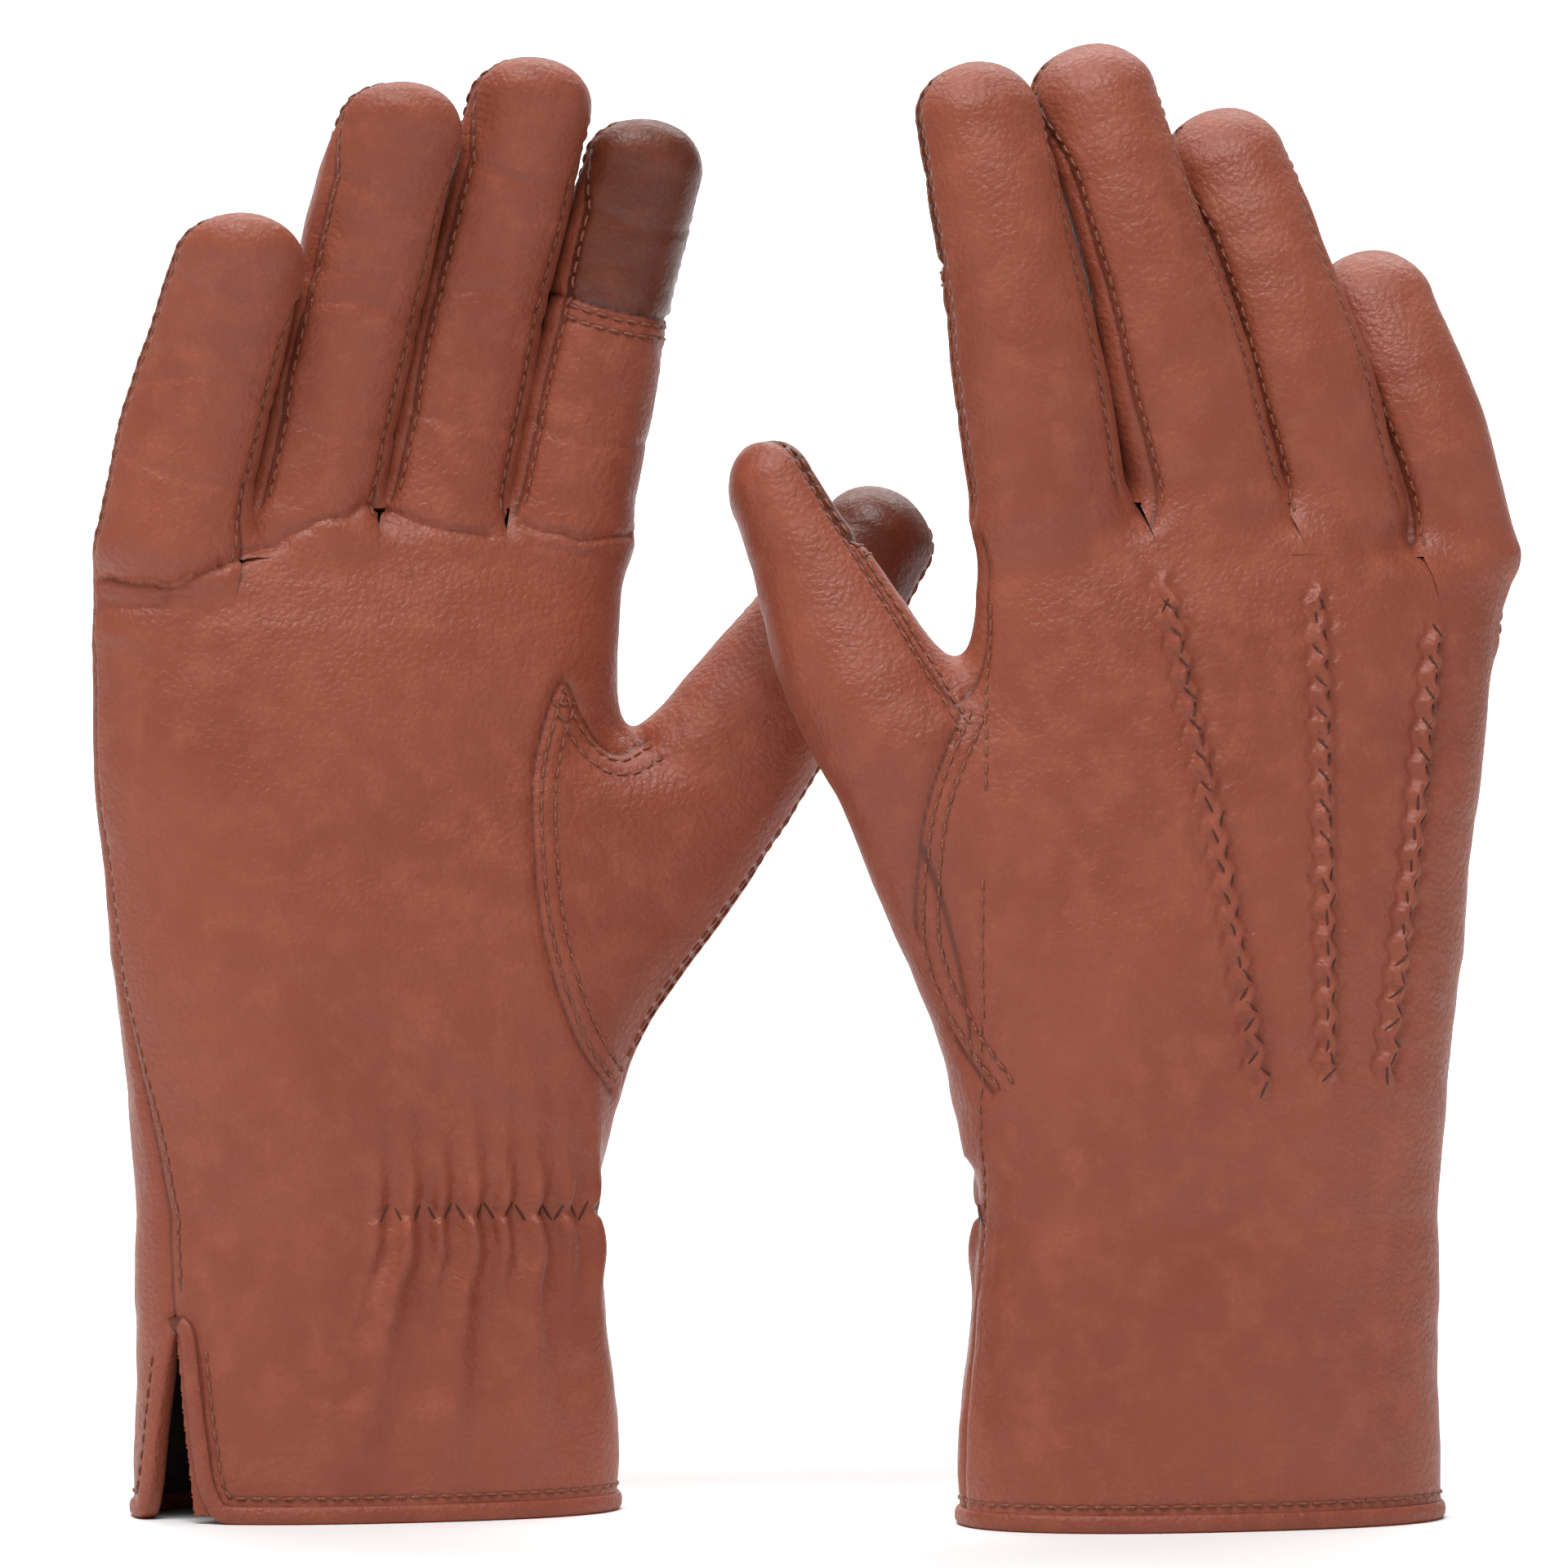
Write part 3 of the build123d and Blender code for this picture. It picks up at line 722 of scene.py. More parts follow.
class Nodes:
    """Adds shader nodes to one material."""

    def __init__(self, name):
        self.material = bpy.data.materials.new(name)
        self.material.use_nodes = True
        self.tree = self.material.node_tree
        self.shader = self.tree.nodes["Principled BSDF"]

    def add(self, kind, inputs=(), **settings):
        node = self.tree.nodes.new(kind)
        for key, value in settings.items():
            setattr(node, key, value)
        for socket, value in dict(inputs).items():
            self.put(node.inputs[socket], value)
        return node

    def put(self, socket, value):
        if isinstance(value, bpy.types.NodeSocket):
            self.tree.links.new(value, socket)
        else:
            socket.default_value = value

    def surface(self, values):
        """Sets the shader's own inputs by name, and gives the finished material."""
        for name, value in values.items():
            self.put(self.shader.inputs[name], value)
        return self.material

    def attribute(self, name):
        return self.add("ShaderNodeAttribute", attribute_name=name)

    def noise(self, vector, scale, detail=3.0, roughness=0.55):
        values = {"Vector": vector, "Scale": scale, "Detail": detail, "Roughness": roughness}
        return self.add("ShaderNodeTexNoise", values).outputs["Fac"]

    def math(self, operation, a, b=0.0):
        return self.add("ShaderNodeMath", {0: a, 1: b}, operation=operation).outputs[0]

    def range(self, value, low, high, to_low=0.0, to_high=1.0):
        values = {"Value": value, "From Min": low, "From Max": high, "To Min": to_low, "To Max": to_high}
        return self.add("ShaderNodeMapRange", values, interpolation_type="SMOOTHSTEP").outputs["Result"]

    def blend(self, factor, a, b):
        node = self.add("ShaderNodeMix", data_type="RGBA")
        for socket, value in zip((0, 6, 7), (factor, a, b)):
            self.put(node.inputs[socket], value)
        return node.outputs[2]

    def bump(self, height, distance):
        values = {"Height": height, "Distance": distance, "Strength": 1.0}
        return self.add("ShaderNodeBump", values).outputs["Normal"]


def shade_of(colour, share):
    return tuple(c * share for c in colour[:3]) + (1.0,)


def leather(name, tones, roughness, grain):
    """Glove leather: pebbled grain about a millimetre across, mottled colour, painted shade in the grain's
    valleys, along the stitch rows and beside each seam, and a thin dark line in each seam.
    """
    dark, middle, light = tones
    n = Nodes(name)
    rest = n.attribute("rest").outputs["Vector"]
    seam = n.attribute("seam").outputs["Fac"]
    broad = n.noise(rest, 0.035, 2.0)
    cloud = n.noise(rest, 0.16, 4.0, 0.6)
    speck = n.noise(rest, 1.1, 3.0, 0.6)
    warp = n.add("ShaderNodeTexNoise", {"Vector": rest, "Scale": 0.9, "Detail": 2.0})
    bent = n.add("ShaderNodeVectorMath", {0: rest, 1: warp.outputs["Color"]}, operation="ADD").outputs[0]
    pebble = n.add("ShaderNodeTexVoronoi", feature="SMOOTH_F1")
    for socket, value in (("Vector", bent), ("Scale", 0.95), ("Smoothness", 0.35)):
        n.put(pebble.inputs[socket], value)
    valley = n.range(pebble.outputs["Distance"], 0.25, 0.75)
    creases = n.add("ShaderNodeTexVoronoi", {"Vector": bent, "Scale": 0.34}, feature="DISTANCE_TO_EDGE")
    crease = n.range(creases.outputs["Distance"], 0.0, 0.10)
    colour = n.blend(n.range(broad, 0.35, 0.65), dark, middle)
    colour = n.blend(n.range(cloud, 0.42, 0.72), colour, light)
    colour = n.blend(n.range(speck, 0.45, 0.75, 0.0, 0.35), colour, dark)
    # painted shade: the valleys of the pebbled grain are darkened in colour
    colour = n.blend(n.math("MULTIPLY", valley, 0.22), colour, dark)
    sewn = n.attribute("sewn").outputs["Fac"]
    # painted shade along the stitch rows, in the small groove where the thread sinks into the leather
    stitch_shade = n.math("MULTIPLY", n.range(sewn, 0.12, 0.62, 1.0, 0.0), n.range(speck, 0.3, 0.6, 0.35, 0.8))
    colour = n.blend(stitch_shade, colour, shade_of(dark, 0.35))
    # painted shade for a few millimetres either side of each seam's groove, then a thin dark line in the
    # seam's joint
    colour = n.blend(n.range(seam, 0.4, 2.5, 0.18, 0.0), colour, dark)
    colour = n.blend(n.range(seam, 0.08, 0.5, 0.6, 0.0), colour, shade_of(dark, 0.22))
    rough = n.range(cloud, 0.3, 0.7, roughness - 0.06, roughness + 0.07)
    rough = n.math("ADD", rough, n.math("MULTIPLY", valley, 0.08))
    fine = n.noise(rest, 2.6, 4.0, 0.6)
    height = n.math("SUBTRACT", n.math("MULTIPLY", fine, 0.35), n.math("MULTIPLY", valley, grain))
    height = n.math("ADD", height, n.math("MULTIPLY", crease, grain * 0.35))
    height = n.math("ADD", height, n.math("MULTIPLY", cloud, 0.3))
    return n.surface({"Base Color": colour, "Roughness": rough, "Specular IOR Level": 0.45,
                      "Sheen Weight": 0.04, "Sheen Roughness": 0.5, "Sheen Tint": (1.0, 0.86, 0.80, 1.0),
                      "Normal": n.bump(height, 0.13 * MM)})


def knitted(name, dark, light, pitch, at_rest=True):
    """A cloth with rows of small loops; its pattern follows the piece's place at rest, or its object."""
    n = Nodes(name)
    rest = n.attribute("rest").outputs["Vector"]
    if not at_rest:
        place = n.add("ShaderNodeTexCoord").outputs["Object"]
        rest = n.add("ShaderNodeVectorMath", {0: place, 1: (1.0 / MM,) * 3}, operation="MULTIPLY").outputs[0]
    wave = n.add("ShaderNodeTexWave", {"Vector": rest, "Scale": pitch, "Distortion": 1.5, "Detail": 2.0},
                 bands_direction="Z")
    cross = n.add("ShaderNodeTexWave", {"Vector": rest, "Scale": pitch * 1.3, "Distortion": 1.0},
                  bands_direction="X")
    loops = n.math("MULTIPLY", wave.outputs["Fac"], cross.outputs["Fac"])
    fuzz = n.noise(rest, 2.0, 5.0, 0.7)
    colour = n.blend(n.math("MULTIPLY", loops, fuzz), dark, light)
    height = n.math("ADD", loops, n.math("MULTIPLY", fuzz, 0.5))
    return n.surface({"Base Color": colour, "Roughness": 0.92, "Sheen Weight": 0.3,
                      "Normal": n.bump(height, 0.3 * MM)})


def thread(name, dark, light):
    n = Nodes(name)
    place = n.add("ShaderNodeTexCoord").outputs["Object"]
    twist = n.add("ShaderNodeTexWave", {"Vector": place, "Scale": 900.0, "Distortion": 2.0},
                  bands_direction="DIAGONAL")
    fuzz = n.noise(place, 1500.0, 3.0)
    colour = n.blend(n.math("MULTIPLY", twist.outputs["Fac"], fuzz), dark, light)
    return n.surface({"Base Color": colour, "Roughness": 0.55,
                      "Normal": n.bump(twist.outputs["Fac"], 0.05 * MM)})


def materials():
    body = (linear(134, 66, 46), linear(143, 73, 52), linear(150, 79, 57))
    touch = (linear(92, 43, 26), linear(100, 48, 30), linear(108, 54, 34))
    return {
        "leather": leather("glove_leather", body, 0.45, 0.6),
        "touch_leather": leather("touch_leather", touch, 0.38, 0.35),
        "binding": leather("binding_leather", body, 0.50, 0.7),
        "lining": knitted("lining_knit", linear(58, 38, 30), linear(96, 68, 55), 1.2),
        "elastic": knitted("elastic_weave", linear(110, 82, 66), linear(160, 130, 110), 1.6, False),
        "thread": thread("seam_thread", linear(112, 60, 42), linear(178, 112, 84)),
        "dark_thread": thread("point_thread", linear(62, 29, 20), linear(108, 56, 39)),
    }


MATERIALS = materials()


# ---- pieces ----
def add_object(name, data):
    item = bpy.data.objects.new(name, data)
    bpy.context.scene.collection.objects.link(item)
    return item


def add_piece(name, slot, points, faces, normals=None, rest=None, **distances):
    """A mesh in the row's frame, in metres, from points in millimetres."""
    mesh = bpy.data.meshes.new(name)
    fill_mesh(mesh, points * MM, faces)
    if rest is not None:
        layer = mesh.attributes.new("rest", "FLOAT_VECTOR", "POINT")
        layer.data.foreach_set("vector", rest.astype(np.float32).ravel())
    for key, values in distances.items():
        layer = mesh.attributes.new(key, "FLOAT", "POINT")
        layer.data.foreach_set("value", values.astype(np.float32))
    mesh.shade_smooth()
    if normals is not None:
        mesh.normals_split_custom_set_from_vertices(normals.astype(np.float32).tolist())
    mesh.materials.append(MATERIALS[slot])
    piece = add_object(name, mesh)
    return piece


# A thumb bends past its seam with the hand, along a line that leans outward from the web.
THUMB_BEND_LINE = np.array((math.cos(math.radians(30.0)), 0.0, math.sin(math.radians(30.0))))
THUMB_BEND_REACH = {"glove1": (109.0, 130.0), "glove2": (114.5, 135.0)}
FINGER_BEND_REACH = (-9.0, 8.0)


def joined_by(piece, digit):
    """Works out the ends of a bend from the hand to the digit, at the digit's crease, but does not use them;
    bakes the piece's place into its mesh.
    """
    if digit.is_thumb:
        spots = [THUMB_BEND_LINE * reach for reach in THUMB_BEND_REACH[digit.glove.name]]
    else:
        spots = [digit.outward(np.array((0.0, 0.0, reach))) for reach in FINGER_BEND_REACH]
    start, end = (digit.glove.row(spot) * MM for spot in spots)
    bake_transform(piece)


class Skin:
    """A part of a glove's surface: where it lies at rest, and where its relief moves it."""

    def __init__(self, glove, points, faces, focus, relief, seam, edge_planes, rows):
        normal = unit(glove.gradient(points, focus)[1])
        self.sewn = row_distance(glove.row(points), rows)
        relief = relief - 0.16 * bump_line(self.sewn, 0.5)
        self.rest, self.faces, self.seam = points, faces, seam
        moved = points + normal * (relief + seam_relief(seam))[:, None]
        fan = vertex_normals(moved, faces)
        near = np.zeros(len(points), dtype=bool)
        for spot, plane_normal in edge_planes:
            near |= np.abs((points - spot) @ np.array(plane_normal)) < 0.4
        fan[near] = normal[near]
        self.normals = fan @ glove.rotation.T
        self.points = glove.row(moved)

    def centres(self):
        return self.rest[self.faces].mean(axis=1)

    def piece(self, name, slot, chosen):
        used, faces = pick(self.faces, chosen)
        return add_piece(name, slot, self.points[used], faces, self.normals[used], self.rest[used],
                         seam=self.seam[used], sewn=self.sewn[used])


# ---- the skins of one glove ----
UNDER_SPLIT = ((0.0, 0.0, SPLIT_HEIGHT), (0.0, 0.0, 1.0))
OVER_SPLIT = ((0.0, 0.0, SPLIT_HEIGHT), (0.0, 0.0, -1.0))
HAND_PIECES = {
    "palm_panel": ("palm_panel",),
    "back_panel": ("back_panel", "back_points"),
    "thumb_front": ("thumb_palm_piece", "thumb_gusset", "thumb_crease"),
    "thumb_back": ("thumb_back_piece",),
    "thumb_touch_tip": ("thumb_touch_tip",),
}
FINGER_PIECES = {"gussets": ("gussets",), "stall": ("stall", "crease"), "touch_tip": ("touch_tip",)}


def finger_borders(glove, finger):
    """Planes between a finger and its neighbours, each a point and a normal that points away from it."""
    order = [glove.by_name[name] for name in FINGERS]
    place = order.index(finger)
    planes = []
    for other in order[max(0, place - 1):place] + order[place + 1:place + 2]:
        level = np.array((1.0, 0.0, 1.0))
        lean = (finger.axes[2] + other.axes[2]) * level
        normal = (other.origin - finger.origin) * level
        normal = normal - (normal @ lean) / (lean @ lean) * lean
        middle = (finger.origin + other.origin) / 2.0
        planes.append((middle, unit(normal), crotch_height(finger, other) + 6.0))
    return planes


def finger_grid(finger):
    reach = [(sx * 17.0, sy * 17.0 - bow, s) for sx in (-1, 1) for sy in (-1, 1)
             for bow, s in ((0.0, 0.0), (14.0, finger.length))]
    spots = finger.outward(np.array(reach))
    low, high = spots.min(axis=0), spots.max(axis=0)
    low[0], high[0] = low[0] - 4.0, high[0] + 4.0
    low[2], high[2] = SPLIT_HEIGHT - 2.0, high[2] + 3.0
    low[1], high[1] = min(low[1], -24.0), max(high[1], 24.0)
    return low, high


def finger_skin(glove, finger, rows):
    low, high = finger_grid(finger)
    points, quads = sample(glove, low, high, STEP, finger)
    points, faces = clipped(points, quads, [OVER_SPLIT] + finger_borders(glove, finger))
    relief = finger_relief(finger, points)
    ease = smoothstep(SPLIT_HEIGHT, SPLIT_HEIGHT + 10.0, points[:, 2])
    relief = relief * ease + hand_relief(points) * (1.0 - ease)
    seam = finger_seams(finger, points)
    seam = np.where(points[:, 2] < SPLIT_HEIGHT + 12.0, np.minimum(seam, side_seams(glove, points)), seam)
    return Skin(glove, points, faces, finger, relief, seam, [OVER_SPLIT], rows)


def side_seams(glove, points):
    angle, radian = glove.hand_polar(points)
    return np.minimum(np.abs(wrap(angle - ulnar_angle(points[:, 2]))),
                      np.abs(wrap(angle - radial_angle(points[:, 2])))) * radian


def thumb_side(glove):
    """The part of the grid that holds the thumb: its low and high corner, and the plane that ends it."""
    divide = glove.by_name["index"].origin[0] + 16.0
    return (divide - 1.5, -44.0, -1.5), (108.0, 28.0, 192.0), ((divide, 0.0, 0.0), (-1.0, 0.0, 0.0))


def palm_side(glove, below, beside):
    """The part of the grid that holds the rest of the hand, with its low and high corner."""
    divide = glove.by_name["index"].origin[0] + 16.0
    low, high = (-54.0, -28.0, -below), (divide + beside, 28.0, SPLIT_HEIGHT + 1.0)
    return low, high, [UNDER_SPLIT, ((divide, 0.0, 0.0), (1.0, 0.0, 0.0))]


def hand_skin(glove, rows):
    low, high, planes = palm_side(glove, 1.5, 1.5)
    palm_points, palm_faces = clipped(*sample(glove, low, high, STEP), planes)
    low, high, plane = thumb_side(glove)
    side_points, side_faces = clipped(*sample(glove, low, high, STEP), [plane])
    points = np.concatenate((palm_points, side_points))
    faces = np.concatenate((palm_faces, side_faces + len(palm_points)))
    return Skin(glove, points, faces, None, hand_relief(points), hand_seams(glove, points), planes, rows)


def leather_piece(skin, name, part, chosen, nodes):
    """One leather piece of a skin, which stands for the CAD nodes of that prefix."""
    slot = "touch_leather" if part.endswith("touch_tip") else "leather"
    piece = skin.piece(f"{name}_{part}_leather", slot, chosen)
    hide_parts(*(f"{name}_{node}" for node in nodes))
    return piece


def make_hand(glove, rows):
    skin = hand_skin(glove, rows)
    spots = skin.centres()
    parts = hand_parts(glove, spots)
    kept = ~in_vent(glove, spots) & (spots[:, 2] > 1.6)
    for part, nodes in HAND_PIECES.items():
        if part.startswith("thumb"):
            joined_by(leather_piece(skin, glove.name, part, parts == part, nodes), glove.by_name["thumb"])
        else:
            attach(leather_piece(skin, glove.name, part, (parts == part) & kept, nodes), glove.hand_body)
    return skin


def make_finger(glove, finger, rows):
    skin = finger_skin(glove, finger, rows)
    parts = finger_parts(finger, skin.centres())
    for part, nodes in FINGER_PIECES.items():
        if part in parts:
            joined_by(leather_piece(skin, finger.body, part, parts == part, nodes), finger)
    return skin


# ---- lining ----
LINING_DEPTH = 1.9


def lining_piece(glove, name, points, faces):
    piece = add_piece(f"{name}_lining_cloth", "lining", glove.row(points), faces, rest=points)
    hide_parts(f"{name}_lining")
    return piece


def make_linings(glove):
    low, high, planes = palm_side(glove, 1.0, 3.0)
    points, quads = sample(glove, low, high, LINING_STEP, offset=LINING_DEPTH)
    points, faces = clipped(points, quads, [*planes, ((0.0, 0.0, 2.0), (0.0, 0.0, -1.0))])
    used, faces = pick(faces, ~in_vent(glove, points[faces].mean(axis=1)))
    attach(lining_piece(glove, f"{glove.name}_hand", points[used], faces), glove.hand_body)
    for digit in glove.digits:
        if digit.is_thumb:
            low, high, *planes = thumb_side(glove)
        else:
            low, high = finger_grid(digit)
            planes = [OVER_SPLIT] + finger_borders(glove, digit)
        focus = None if digit.is_thumb else digit
        points, faces = clipped(*sample(glove, low, high, LINING_STEP, focus, LINING_DEPTH), planes)
        joined_by(lining_piece(glove, digit.body, points, faces), digit)


# ---- hem binding ----
BINDING_WIDTH = 3.0
# outline of the binding: up from the edge and out from the skin
BINDING_PROFILE = np.array(((3.15, 0.05), (3.05, 0.55), (2.6, 0.9), (1.8, 1.05), (0.8, 0.95), (0.2, 0.55),
                            (0.0, 0.0), (0.0, -1.6), (0.3, -2.5), (1.0, -2.9), (2.4, -2.95), (3.1, -2.6)))
BINDING_STEP = 0.8
CORNER = 6.0


def binding_path(glove):
    """The cuff's whole edge as a loop: down the palm side of the vent, round the hem, and up again."""
    middle = ulnar_angle(0.0)
    _, radian = glove.hand_polar(glove.hand_point(np.array([middle]), np.array([0.0])))
    half = (VENT_HALF_WIDTH + 0.3 * CORNER) / radian[0]
    palm_edge = [vent_edge(glove, z, 1.0) for z in np.linspace(VENT_HEIGHT - 2.0, CORNER, 24)]
    angles = np.linspace(middle + half, middle + 2.0 * math.pi - half, 240)
    hem = glove.hand_point(angles, np.zeros(len(angles)))
    back_edge = [vent_edge(glove, z, -1.0) for z in np.linspace(CORNER, VENT_HEIGHT - 2.0, 24)]
    return np.concatenate((palm_edge, hem, back_edge, palm_edge[:1]))


def vent_edge(glove, z, sign):
    middle = ulnar_angle(z)
    spot = glove.hand_point(np.array([middle]), np.array([z]))
    _, radian = glove.hand_polar(spot)
    angle = middle + sign * VENT_HALF_WIDTH * (1.0 - z / VENT_HEIGHT) / radian[0]
    return glove.hand_point(np.array([angle]), np.array([z]))[0]


def even_path(points, pitch):
    """The path walked in even steps."""
    lengths = np.concatenate(([0.0], np.cumsum(np.linalg.norm(np.diff(points, axis=0), axis=1))))
    places = np.linspace(0.0, lengths[-1], max(2, int(lengths[-1] / pitch)))
    return np.stack([np.interp(places, lengths, points[:, i]) for i in range(3)], axis=-1)


def binding_frames(glove):
    """The cuff's edge, and at each point the way into the leather and the way out of the glove."""
    path = even_path(binding_path(glove), BINDING_STEP)[:-1]
    for _ in range(14):
        path = 0.25 * np.roll(path, 1, axis=0) + 0.5 * path + 0.25 * np.roll(path, -1, axis=0)
    out = unit(glove.gradient(path)[1])
    inward = unit(np.cross(out, np.roll(path, -1, axis=0) - np.roll(path, 1, axis=0)))
    if inward[len(inward) // 2, 2] < 0.0:
        inward = -inward
    return path, inward, out


def make_binding(glove):
    path, inward, out = binding_frames(glove)
    grid = np.stack([path + inward * up + out * off for up, off in BINDING_PROFILE], axis=1)
    grid[:, :, 2] = np.maximum(grid[:, :, 2], 0.0)
    count, width = grid.shape[:2]
    index = np.arange(count * width).reshape(count, width)
    after = np.roll(index, -1, axis=0)
    beside, beside_after = np.roll(index, -1, axis=1), np.roll(after, -1, axis=1)
    faces = np.stack((index, after, beside_after, beside), axis=-1).reshape(-1, 4)
    around = np.tile(BINDING_PROFILE, (count, 1))
    rest = np.insert(around, 0, np.repeat(np.arange(count) * BINDING_STEP, width), axis=1)
    seam = np.hypot(around[:, 0] - BINDING_PROFILE[0, 0], around[:, 1])
    piece = add_piece(f"{glove.name}_hem_binding_leather", "binding", glove.row(grid.reshape(-1, 3)), faces,
                      rest=rest, seam=seam, sewn=np.full(len(seam), FAR))
    bm = bmesh.new()
    bm.from_mesh(piece.data)
    bmesh.ops.recalc_face_normals(bm, faces=bm.faces)
    bm.to_mesh(piece.data)
    bm.free()
    piece.data.shade_smooth()
    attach(piece, glove.hand_body)
    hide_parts(f"{glove.name}_hem_binding")


# ---- stitches ----
STITCH_LENGTH = 2.0
STITCH_PITCH = 2.9
STITCH_RADIUS = 0.27
ZIGZAG_RADIUS = 0.2
WALK = 0.25
# a stitch of length and radius one: place along it, size round it, height
STITCH_STATIONS = ((-0.5, 0.25, -0.6), (-0.42, 0.85, -0.2), (-0.2, 1.0, 0.15), (0.2, 1.0, 0.15),
                   (0.42, 0.85, -0.2), (0.5, 0.25, -0.6))


def capsule():
    """Points and quads of a stitch that lies along x and dips at both ends."""
    turns = [math.radians(60.0 * k) for k in range(6)]
    points = [(place, size * math.cos(turn), size * math.sin(turn) + lift)
              for place, size, lift in STITCH_STATIONS for turn in turns]
    last = len(points) - 6
    pairs = [(r + k, r + (k + 1) % 6) for r in range(0, last, 6) for k in range(6)]
    quads = [(a, b, b + 6, a + 6) for a, b in pairs]
    for first in (0, last):
        quads += [(first, first + 1, first + 2, first + 3), (first, first + 3, first + 4, first + 5)]
    return np.array(points), np.array(quads)


CAPSULE = capsule()


class Sewing:
    """Collects stitches that lie on one skin."""

    def __init__(self, skin):
        self.tree = BVHTree.FromPolygons(skin.points.tolist(), skin.faces.tolist())
        self.points, self.faces, self.count = [], [], 0

    def stitch(self, a, b, radius):
        """One stitch between two row points near the skin."""
        middle, normal, _, gap = self.tree.find_nearest(Vector((a + b) / 2.0))
        if middle is None or gap > 4.0:
            return
        normal = np.array(normal)
        along = unit((b - a) - ((b - a) @ normal) * normal)
        shape = CAPSULE[0] * np.array((math.dist(a, b), radius, radius))
        basis = np.stack((along, np.cross(normal, along), normal))
        self.points.append(shape @ basis + np.array(middle) + normal * radius * 0.45)
        self.faces.append(CAPSULE[1] + self.count)
        self.count += len(shape)

    def row(self, line):
        """Stitches end to end along a line of row points."""
        line = even_path(line, WALK)
        span = int(STITCH_LENGTH / WALK)
        for i in range(0, len(line) - span, int(STITCH_PITCH / WALK)):
            self.stitch(line[i], line[i + span], STITCH_RADIUS)

    def zigzag(self, line, width):
        """Stitches that cross a line from side to side."""
        line = even_path(line, POINT_PITCH / 2.0)
        for i, (a, b) in enumerate(zip(line, line[1:])):
            normal = np.array(self.tree.find_nearest(Vector(a))[1])
            side = unit(np.cross(normal, b - a)) * width / 2.0 * (1.0 if i % 2 else -1.0)
            self.stitch(a + side, b - side, ZIGZAG_RADIUS)

    def finish(self, name, slot="thread"):
        return add_piece(name, slot, np.concatenate(self.points), np.concatenate(self.faces))


def onto_skin(glove, line, side):
    """Row points on the glove's field where a line in x and z meets its palm (-1) or back (1) side."""
    spots = np.array([(x, 0.0, z) for x, z in line])
    back = np.array((0.0, side, 0.0))
    best = np.zeros(len(spots))
    for height in np.linspace(0.0, 34.0, 69):
        best = np.where(glove.field(spots + back * height) < 0.0, height, best)
    return glove.row(spots + best[:, None] * back)


def offset_line(line, distance):
    points = np.array(line, float)
    run = unit(np.gradient(points, axis=0))
    return points + distance * np.stack((run[:, 1], -run[:, 0]), axis=-1)


def hand_rows(glove):
    """Lines of stitches on the hand, in the row's frame."""
    rows = [onto_skin(glove, offset_line(PALM_HOLE_LINE, distance), -1.0) for distance in (-1.5, -4.0)]
    rows += [onto_skin(glove, offset_line(BACK_HOLE_LINE, distance), 1.0) for distance in (1.4, 3.6)]
    heights = np.linspace(158.0, 40.0, 90)
    for turn in (radial_angle, ulnar_angle):
        rows.append(glove.row(glove.hand_point(turn(heights) + 0.035, heights)))
    path, inward, _ = binding_frames(glove)
    rows.append(glove.row(path + inward * (BINDING_WIDTH + 1.5))[6:-6])
    return rows


def thumb_rows(glove):
    thumb = glove.by_name["thumb"]
    roll = math.radians(THUMB_ROLL[glove.name])
    rows = []
    for side, start in ((roll, -46.0), (roll + math.pi, -2.0)):
        along = np.linspace(start, thumb.length - 1.5, 120)
        rows += [glove.row(thumb.surface_point(along, side + shift / 12.0)) for shift in (-1.3, 1.3)]
    angle = np.linspace(roll - math.pi + 0.12, roll - 0.12, 40)
    for lower in (-1.2, -3.2):
        rows.append(glove.row(thumb.surface_point(thumb_touch_start(thumb, angle) + lower, angle)))
    return rows


def finger_rows(glove, finger):
    along = np.linspace(-13.0, finger.length - 1.0, 140)
    _, _, half_width, _ = finger.section(along)
    rows = []
    for side in (0.0, math.pi):
        inner = finger.gusset_half_angle(along) if side in finger.gusset_sides() else 0.0
        for sign in (-1.0, 1.0):
            angle = side + sign * (inner + 1.3 / half_width)
            rows.append(glove.row(finger.surface_point(along, angle)))
    if finger.name == "index":
        angle = np.linspace(-math.pi + 0.75, -0.12, 40)
        for lower in (-1.2, -3.4):
            rows.append(glove.row(finger.surface_point(index_touch_start(finger, angle) + lower, angle)))
    return rows


def row_distance(points, rows):
    """Distance from each point to the nearest line of stitches."""
    spots = np.concatenate([even_path(row, 0.3) for row in rows])
    tree = KDTree(len(spots))
    for number, spot in enumerate(spots):
        tree.insert(spot, number)
    tree.balance()
    return np.array([tree.find(point)[2] for point in points])


def sew(skin, rows, name):
    sewing = Sewing(skin)
    for row in rows:
        sewing.row(row)
    return sewing.finish(name)


def sew_points(glove, skin):
    """The zigzag threads of the back's three points and of the wrist elastic."""
    sewing = Sewing(skin)
    for ends in BACK_POINTS:
        sewing.zigzag(onto_skin(glove, np.linspace(*ends, 40), 1.0), 2.3)
    wrist = [(ELASTIC_CENTRE + reach, ELASTIC_Z) for reach in np.linspace(-ELASTIC_REACH, ELASTIC_REACH, 60)]
    sewing.zigzag(onto_skin(glove, wrist, -1.0), 3.8)
    return sewing.finish(f"{glove.name}_point_stitching", "dark_thread")


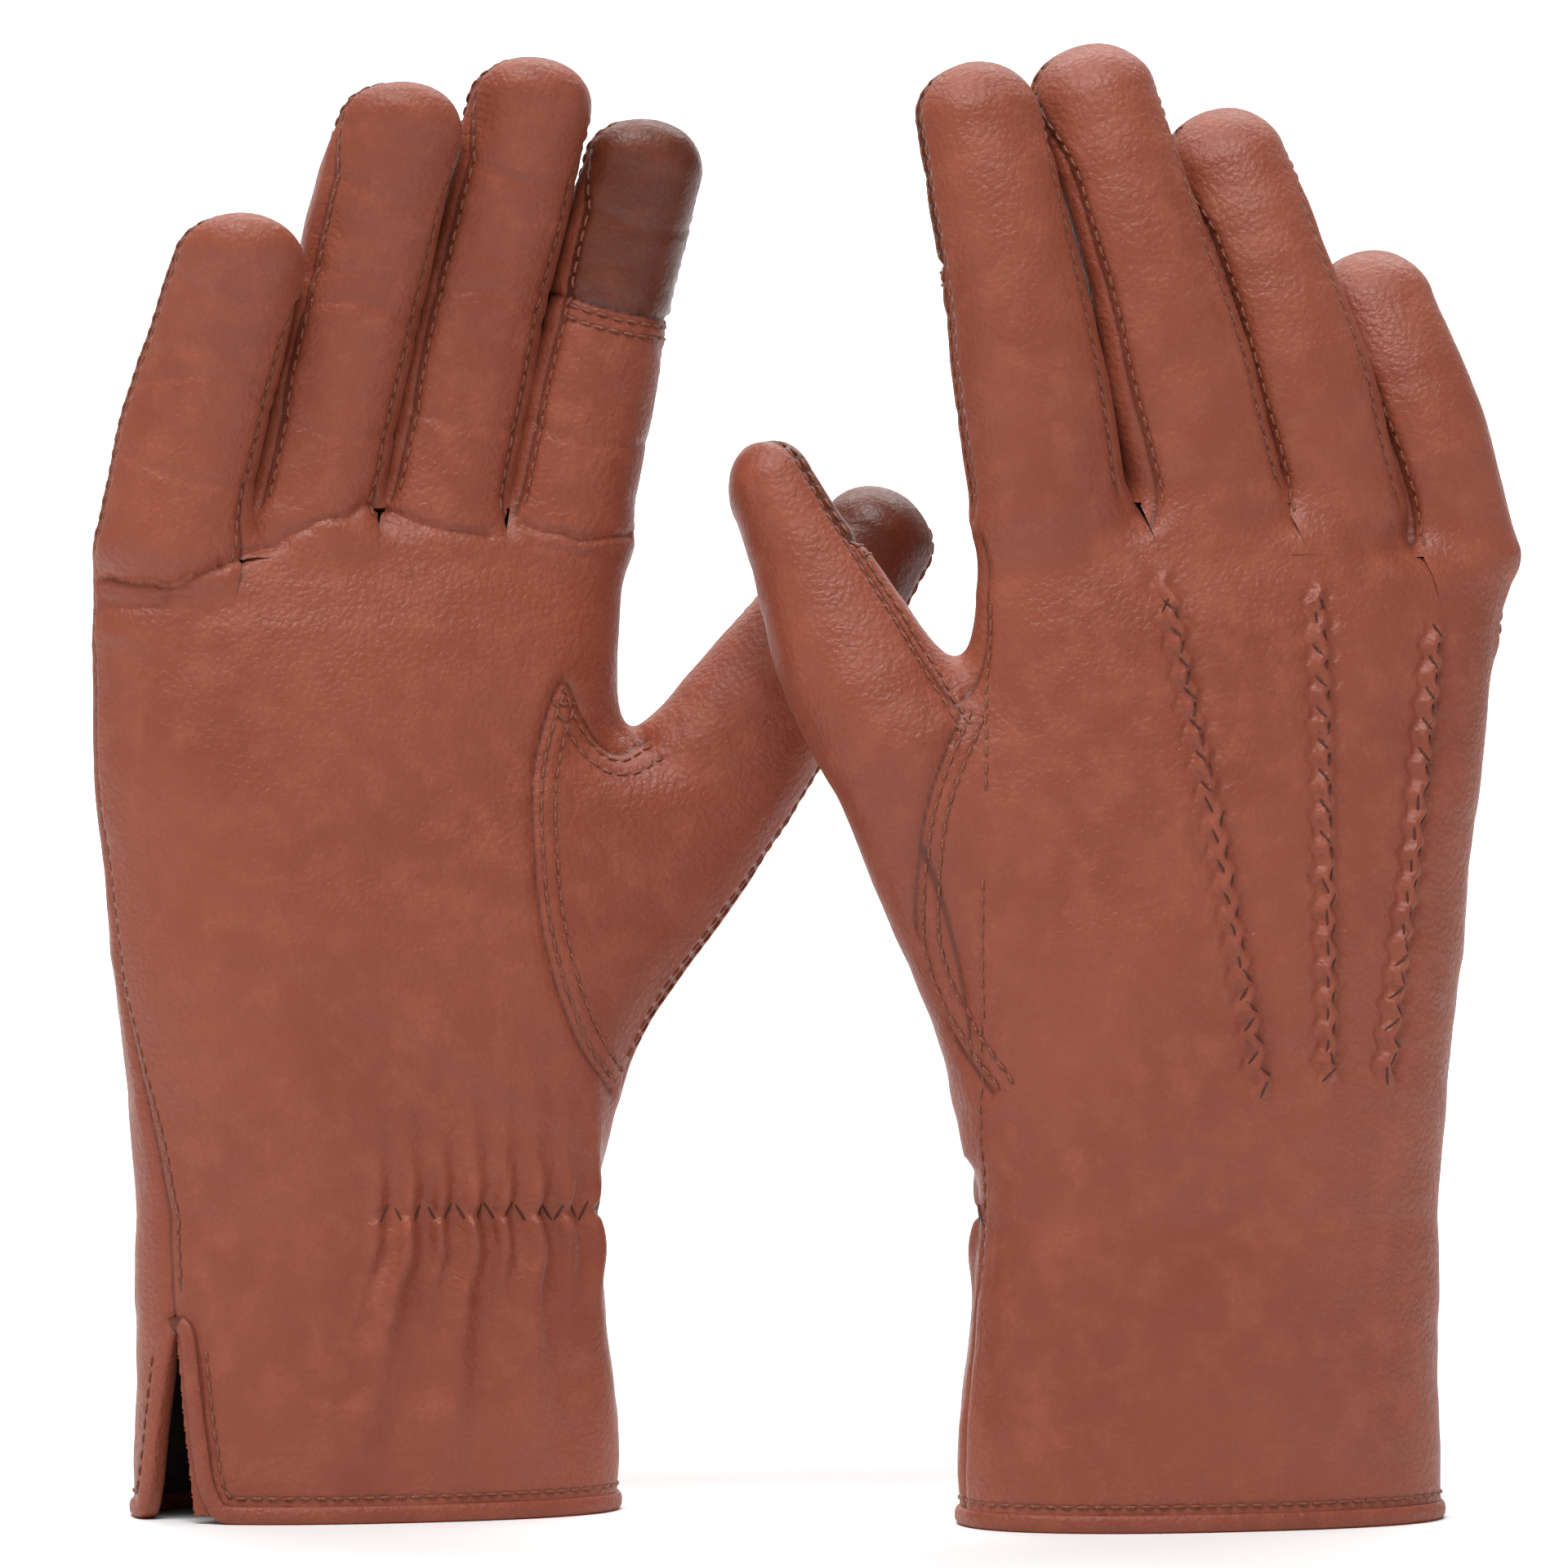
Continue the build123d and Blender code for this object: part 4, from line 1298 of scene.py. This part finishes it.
def make_glove(name):
    glove = Glove(name)
    thumb = glove.by_name["thumb"]
    rows = hand_rows(glove)
    rows_of_thumb = thumb_rows(glove)
    skin = make_hand(glove, rows + rows_of_thumb)
    hand_thread = sew(skin, rows, f"{name}_hand_stitching")
    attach(hand_thread, glove.hand_body)
    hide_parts(f"{name}_hem_stitching")
    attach(sew_points(glove, skin), glove.hand_body)
    joined_by(sew(skin, rows_of_thumb, f"{name}_thumb_stitching"), thumb)
    for finger in glove.digits:
        if not finger.is_thumb:
            rows_of_finger = finger_rows(glove, finger)
            finger_surface = make_finger(glove, finger, rows_of_finger)
            joined_by(sew(finger_surface, rows_of_finger, f"{name}_{finger.name}_stitching"), finger)
    make_linings(glove)
    make_binding(glove)
    elastic = frame["nodes"][f"{name}_wrist_elastic"]
    elastic.data.materials.clear()
    elastic.data.materials.append(MATERIALS["elastic"])


# ---- studio ----
FLOOR_REACH = 4.0
SWEEP_RADIUS = 0.5
WALL_HEIGHT = 3.0
# the camera: focal length and sensor in millimetres, and the width it sees at the gloves in metres
LENS, SENSOR, SEEN = 180.0, 36.0, 0.2726


def make_stage():
    """A pale floor that sweeps up into a wall, behind where any view's camera stands."""
    bend = FLOOR_REACH - SWEEP_RADIUS
    profile = [(-FLOOR_REACH, 0.0), (bend, 0.0)]
    profile += [(bend + SWEEP_RADIUS * math.sin(t), SWEEP_RADIUS - SWEEP_RADIUS * math.cos(t))
                for t in np.linspace(0.1, math.pi / 2.0, 12)]
    profile += [(FLOOR_REACH, WALL_HEIGHT)]
    points = [(x, y, z) for y, z in profile for x in (-FLOOR_REACH, FLOOR_REACH)]
    mesh = bpy.data.meshes.new("studio_floor")
    mesh.from_pydata(points, [], [(i, i + 1, i + 3, i + 2) for i in range(0, len(points) - 2, 2)])
    mesh.shade_smooth()
    n = Nodes("studio_white")
    shade = n.noise(n.add("ShaderNodeTexCoord").outputs["Object"], 3.0)
    colour = n.blend(shade, (0.93, 0.93, 0.93, 1.0), (0.95, 0.95, 0.95, 1.0))
    mesh.materials.append(n.surface({"Base Color": colour, "Roughness": 0.9}))
    floor = add_object("studio_floor", mesh)


def add_light(name, spot, target, size, power):
    light = bpy.data.lights.new(name, "AREA")
    light.shape = "RECTANGLE"
    light.size, light.size_y = size
    light.energy = power
    item = add_object(name, light)
    item.location = spot
    item.rotation_euler = (Vector(target) - Vector(spot)).to_track_quat("-Z", "Y").to_euler()


def make_studio():
    middle = np.array(CAD_BOX).mean(axis=0)
    make_stage()
    add_light("key", (-0.2, -0.62, 1.42), middle, (1.0, 0.45), 20.0)
    add_light("left", (-1.3, -0.75, 0.35), middle, (0.5, 1.2), 1.5)
    add_light("right", (1.3, -0.75, 0.35), middle, (0.5, 1.2), 1.5)
    add_light("floor", (0.0, 1.1, 1.9), (0.0, 1.9, 0.3), (2.6, 0.8), 60.0)
    add_light("backdrop", (0.0, 2.6, 1.9), (0.0, 3.5, 0.3), (3.0, 0.8), 80.0)
    world = bpy.data.worlds.new("studio_world")
    world.use_nodes = True
    background = world.node_tree.nodes["Background"]
    background.inputs["Color"].default_value = (1.0, 1.0, 1.0, 1.0)
    background.inputs["Strength"].default_value = 0.22
    scene = bpy.context.scene
    scene.world = world
    scene.view_settings.view_transform = "Standard"
    camera = add_object("camera", bpy.data.cameras.new("camera"))
    camera.data.lens, camera.data.sensor_width = LENS, SENSOR
    camera.location = (-0.0048, -SEEN * LENS / SENSOR, 0.1272)
    camera.rotation_euler = (math.pi / 2.0, 0.0, 0.0)
    scene.camera = camera


for glove_name in ("glove1", "glove2"):
    make_glove(glove_name)
make_studio()
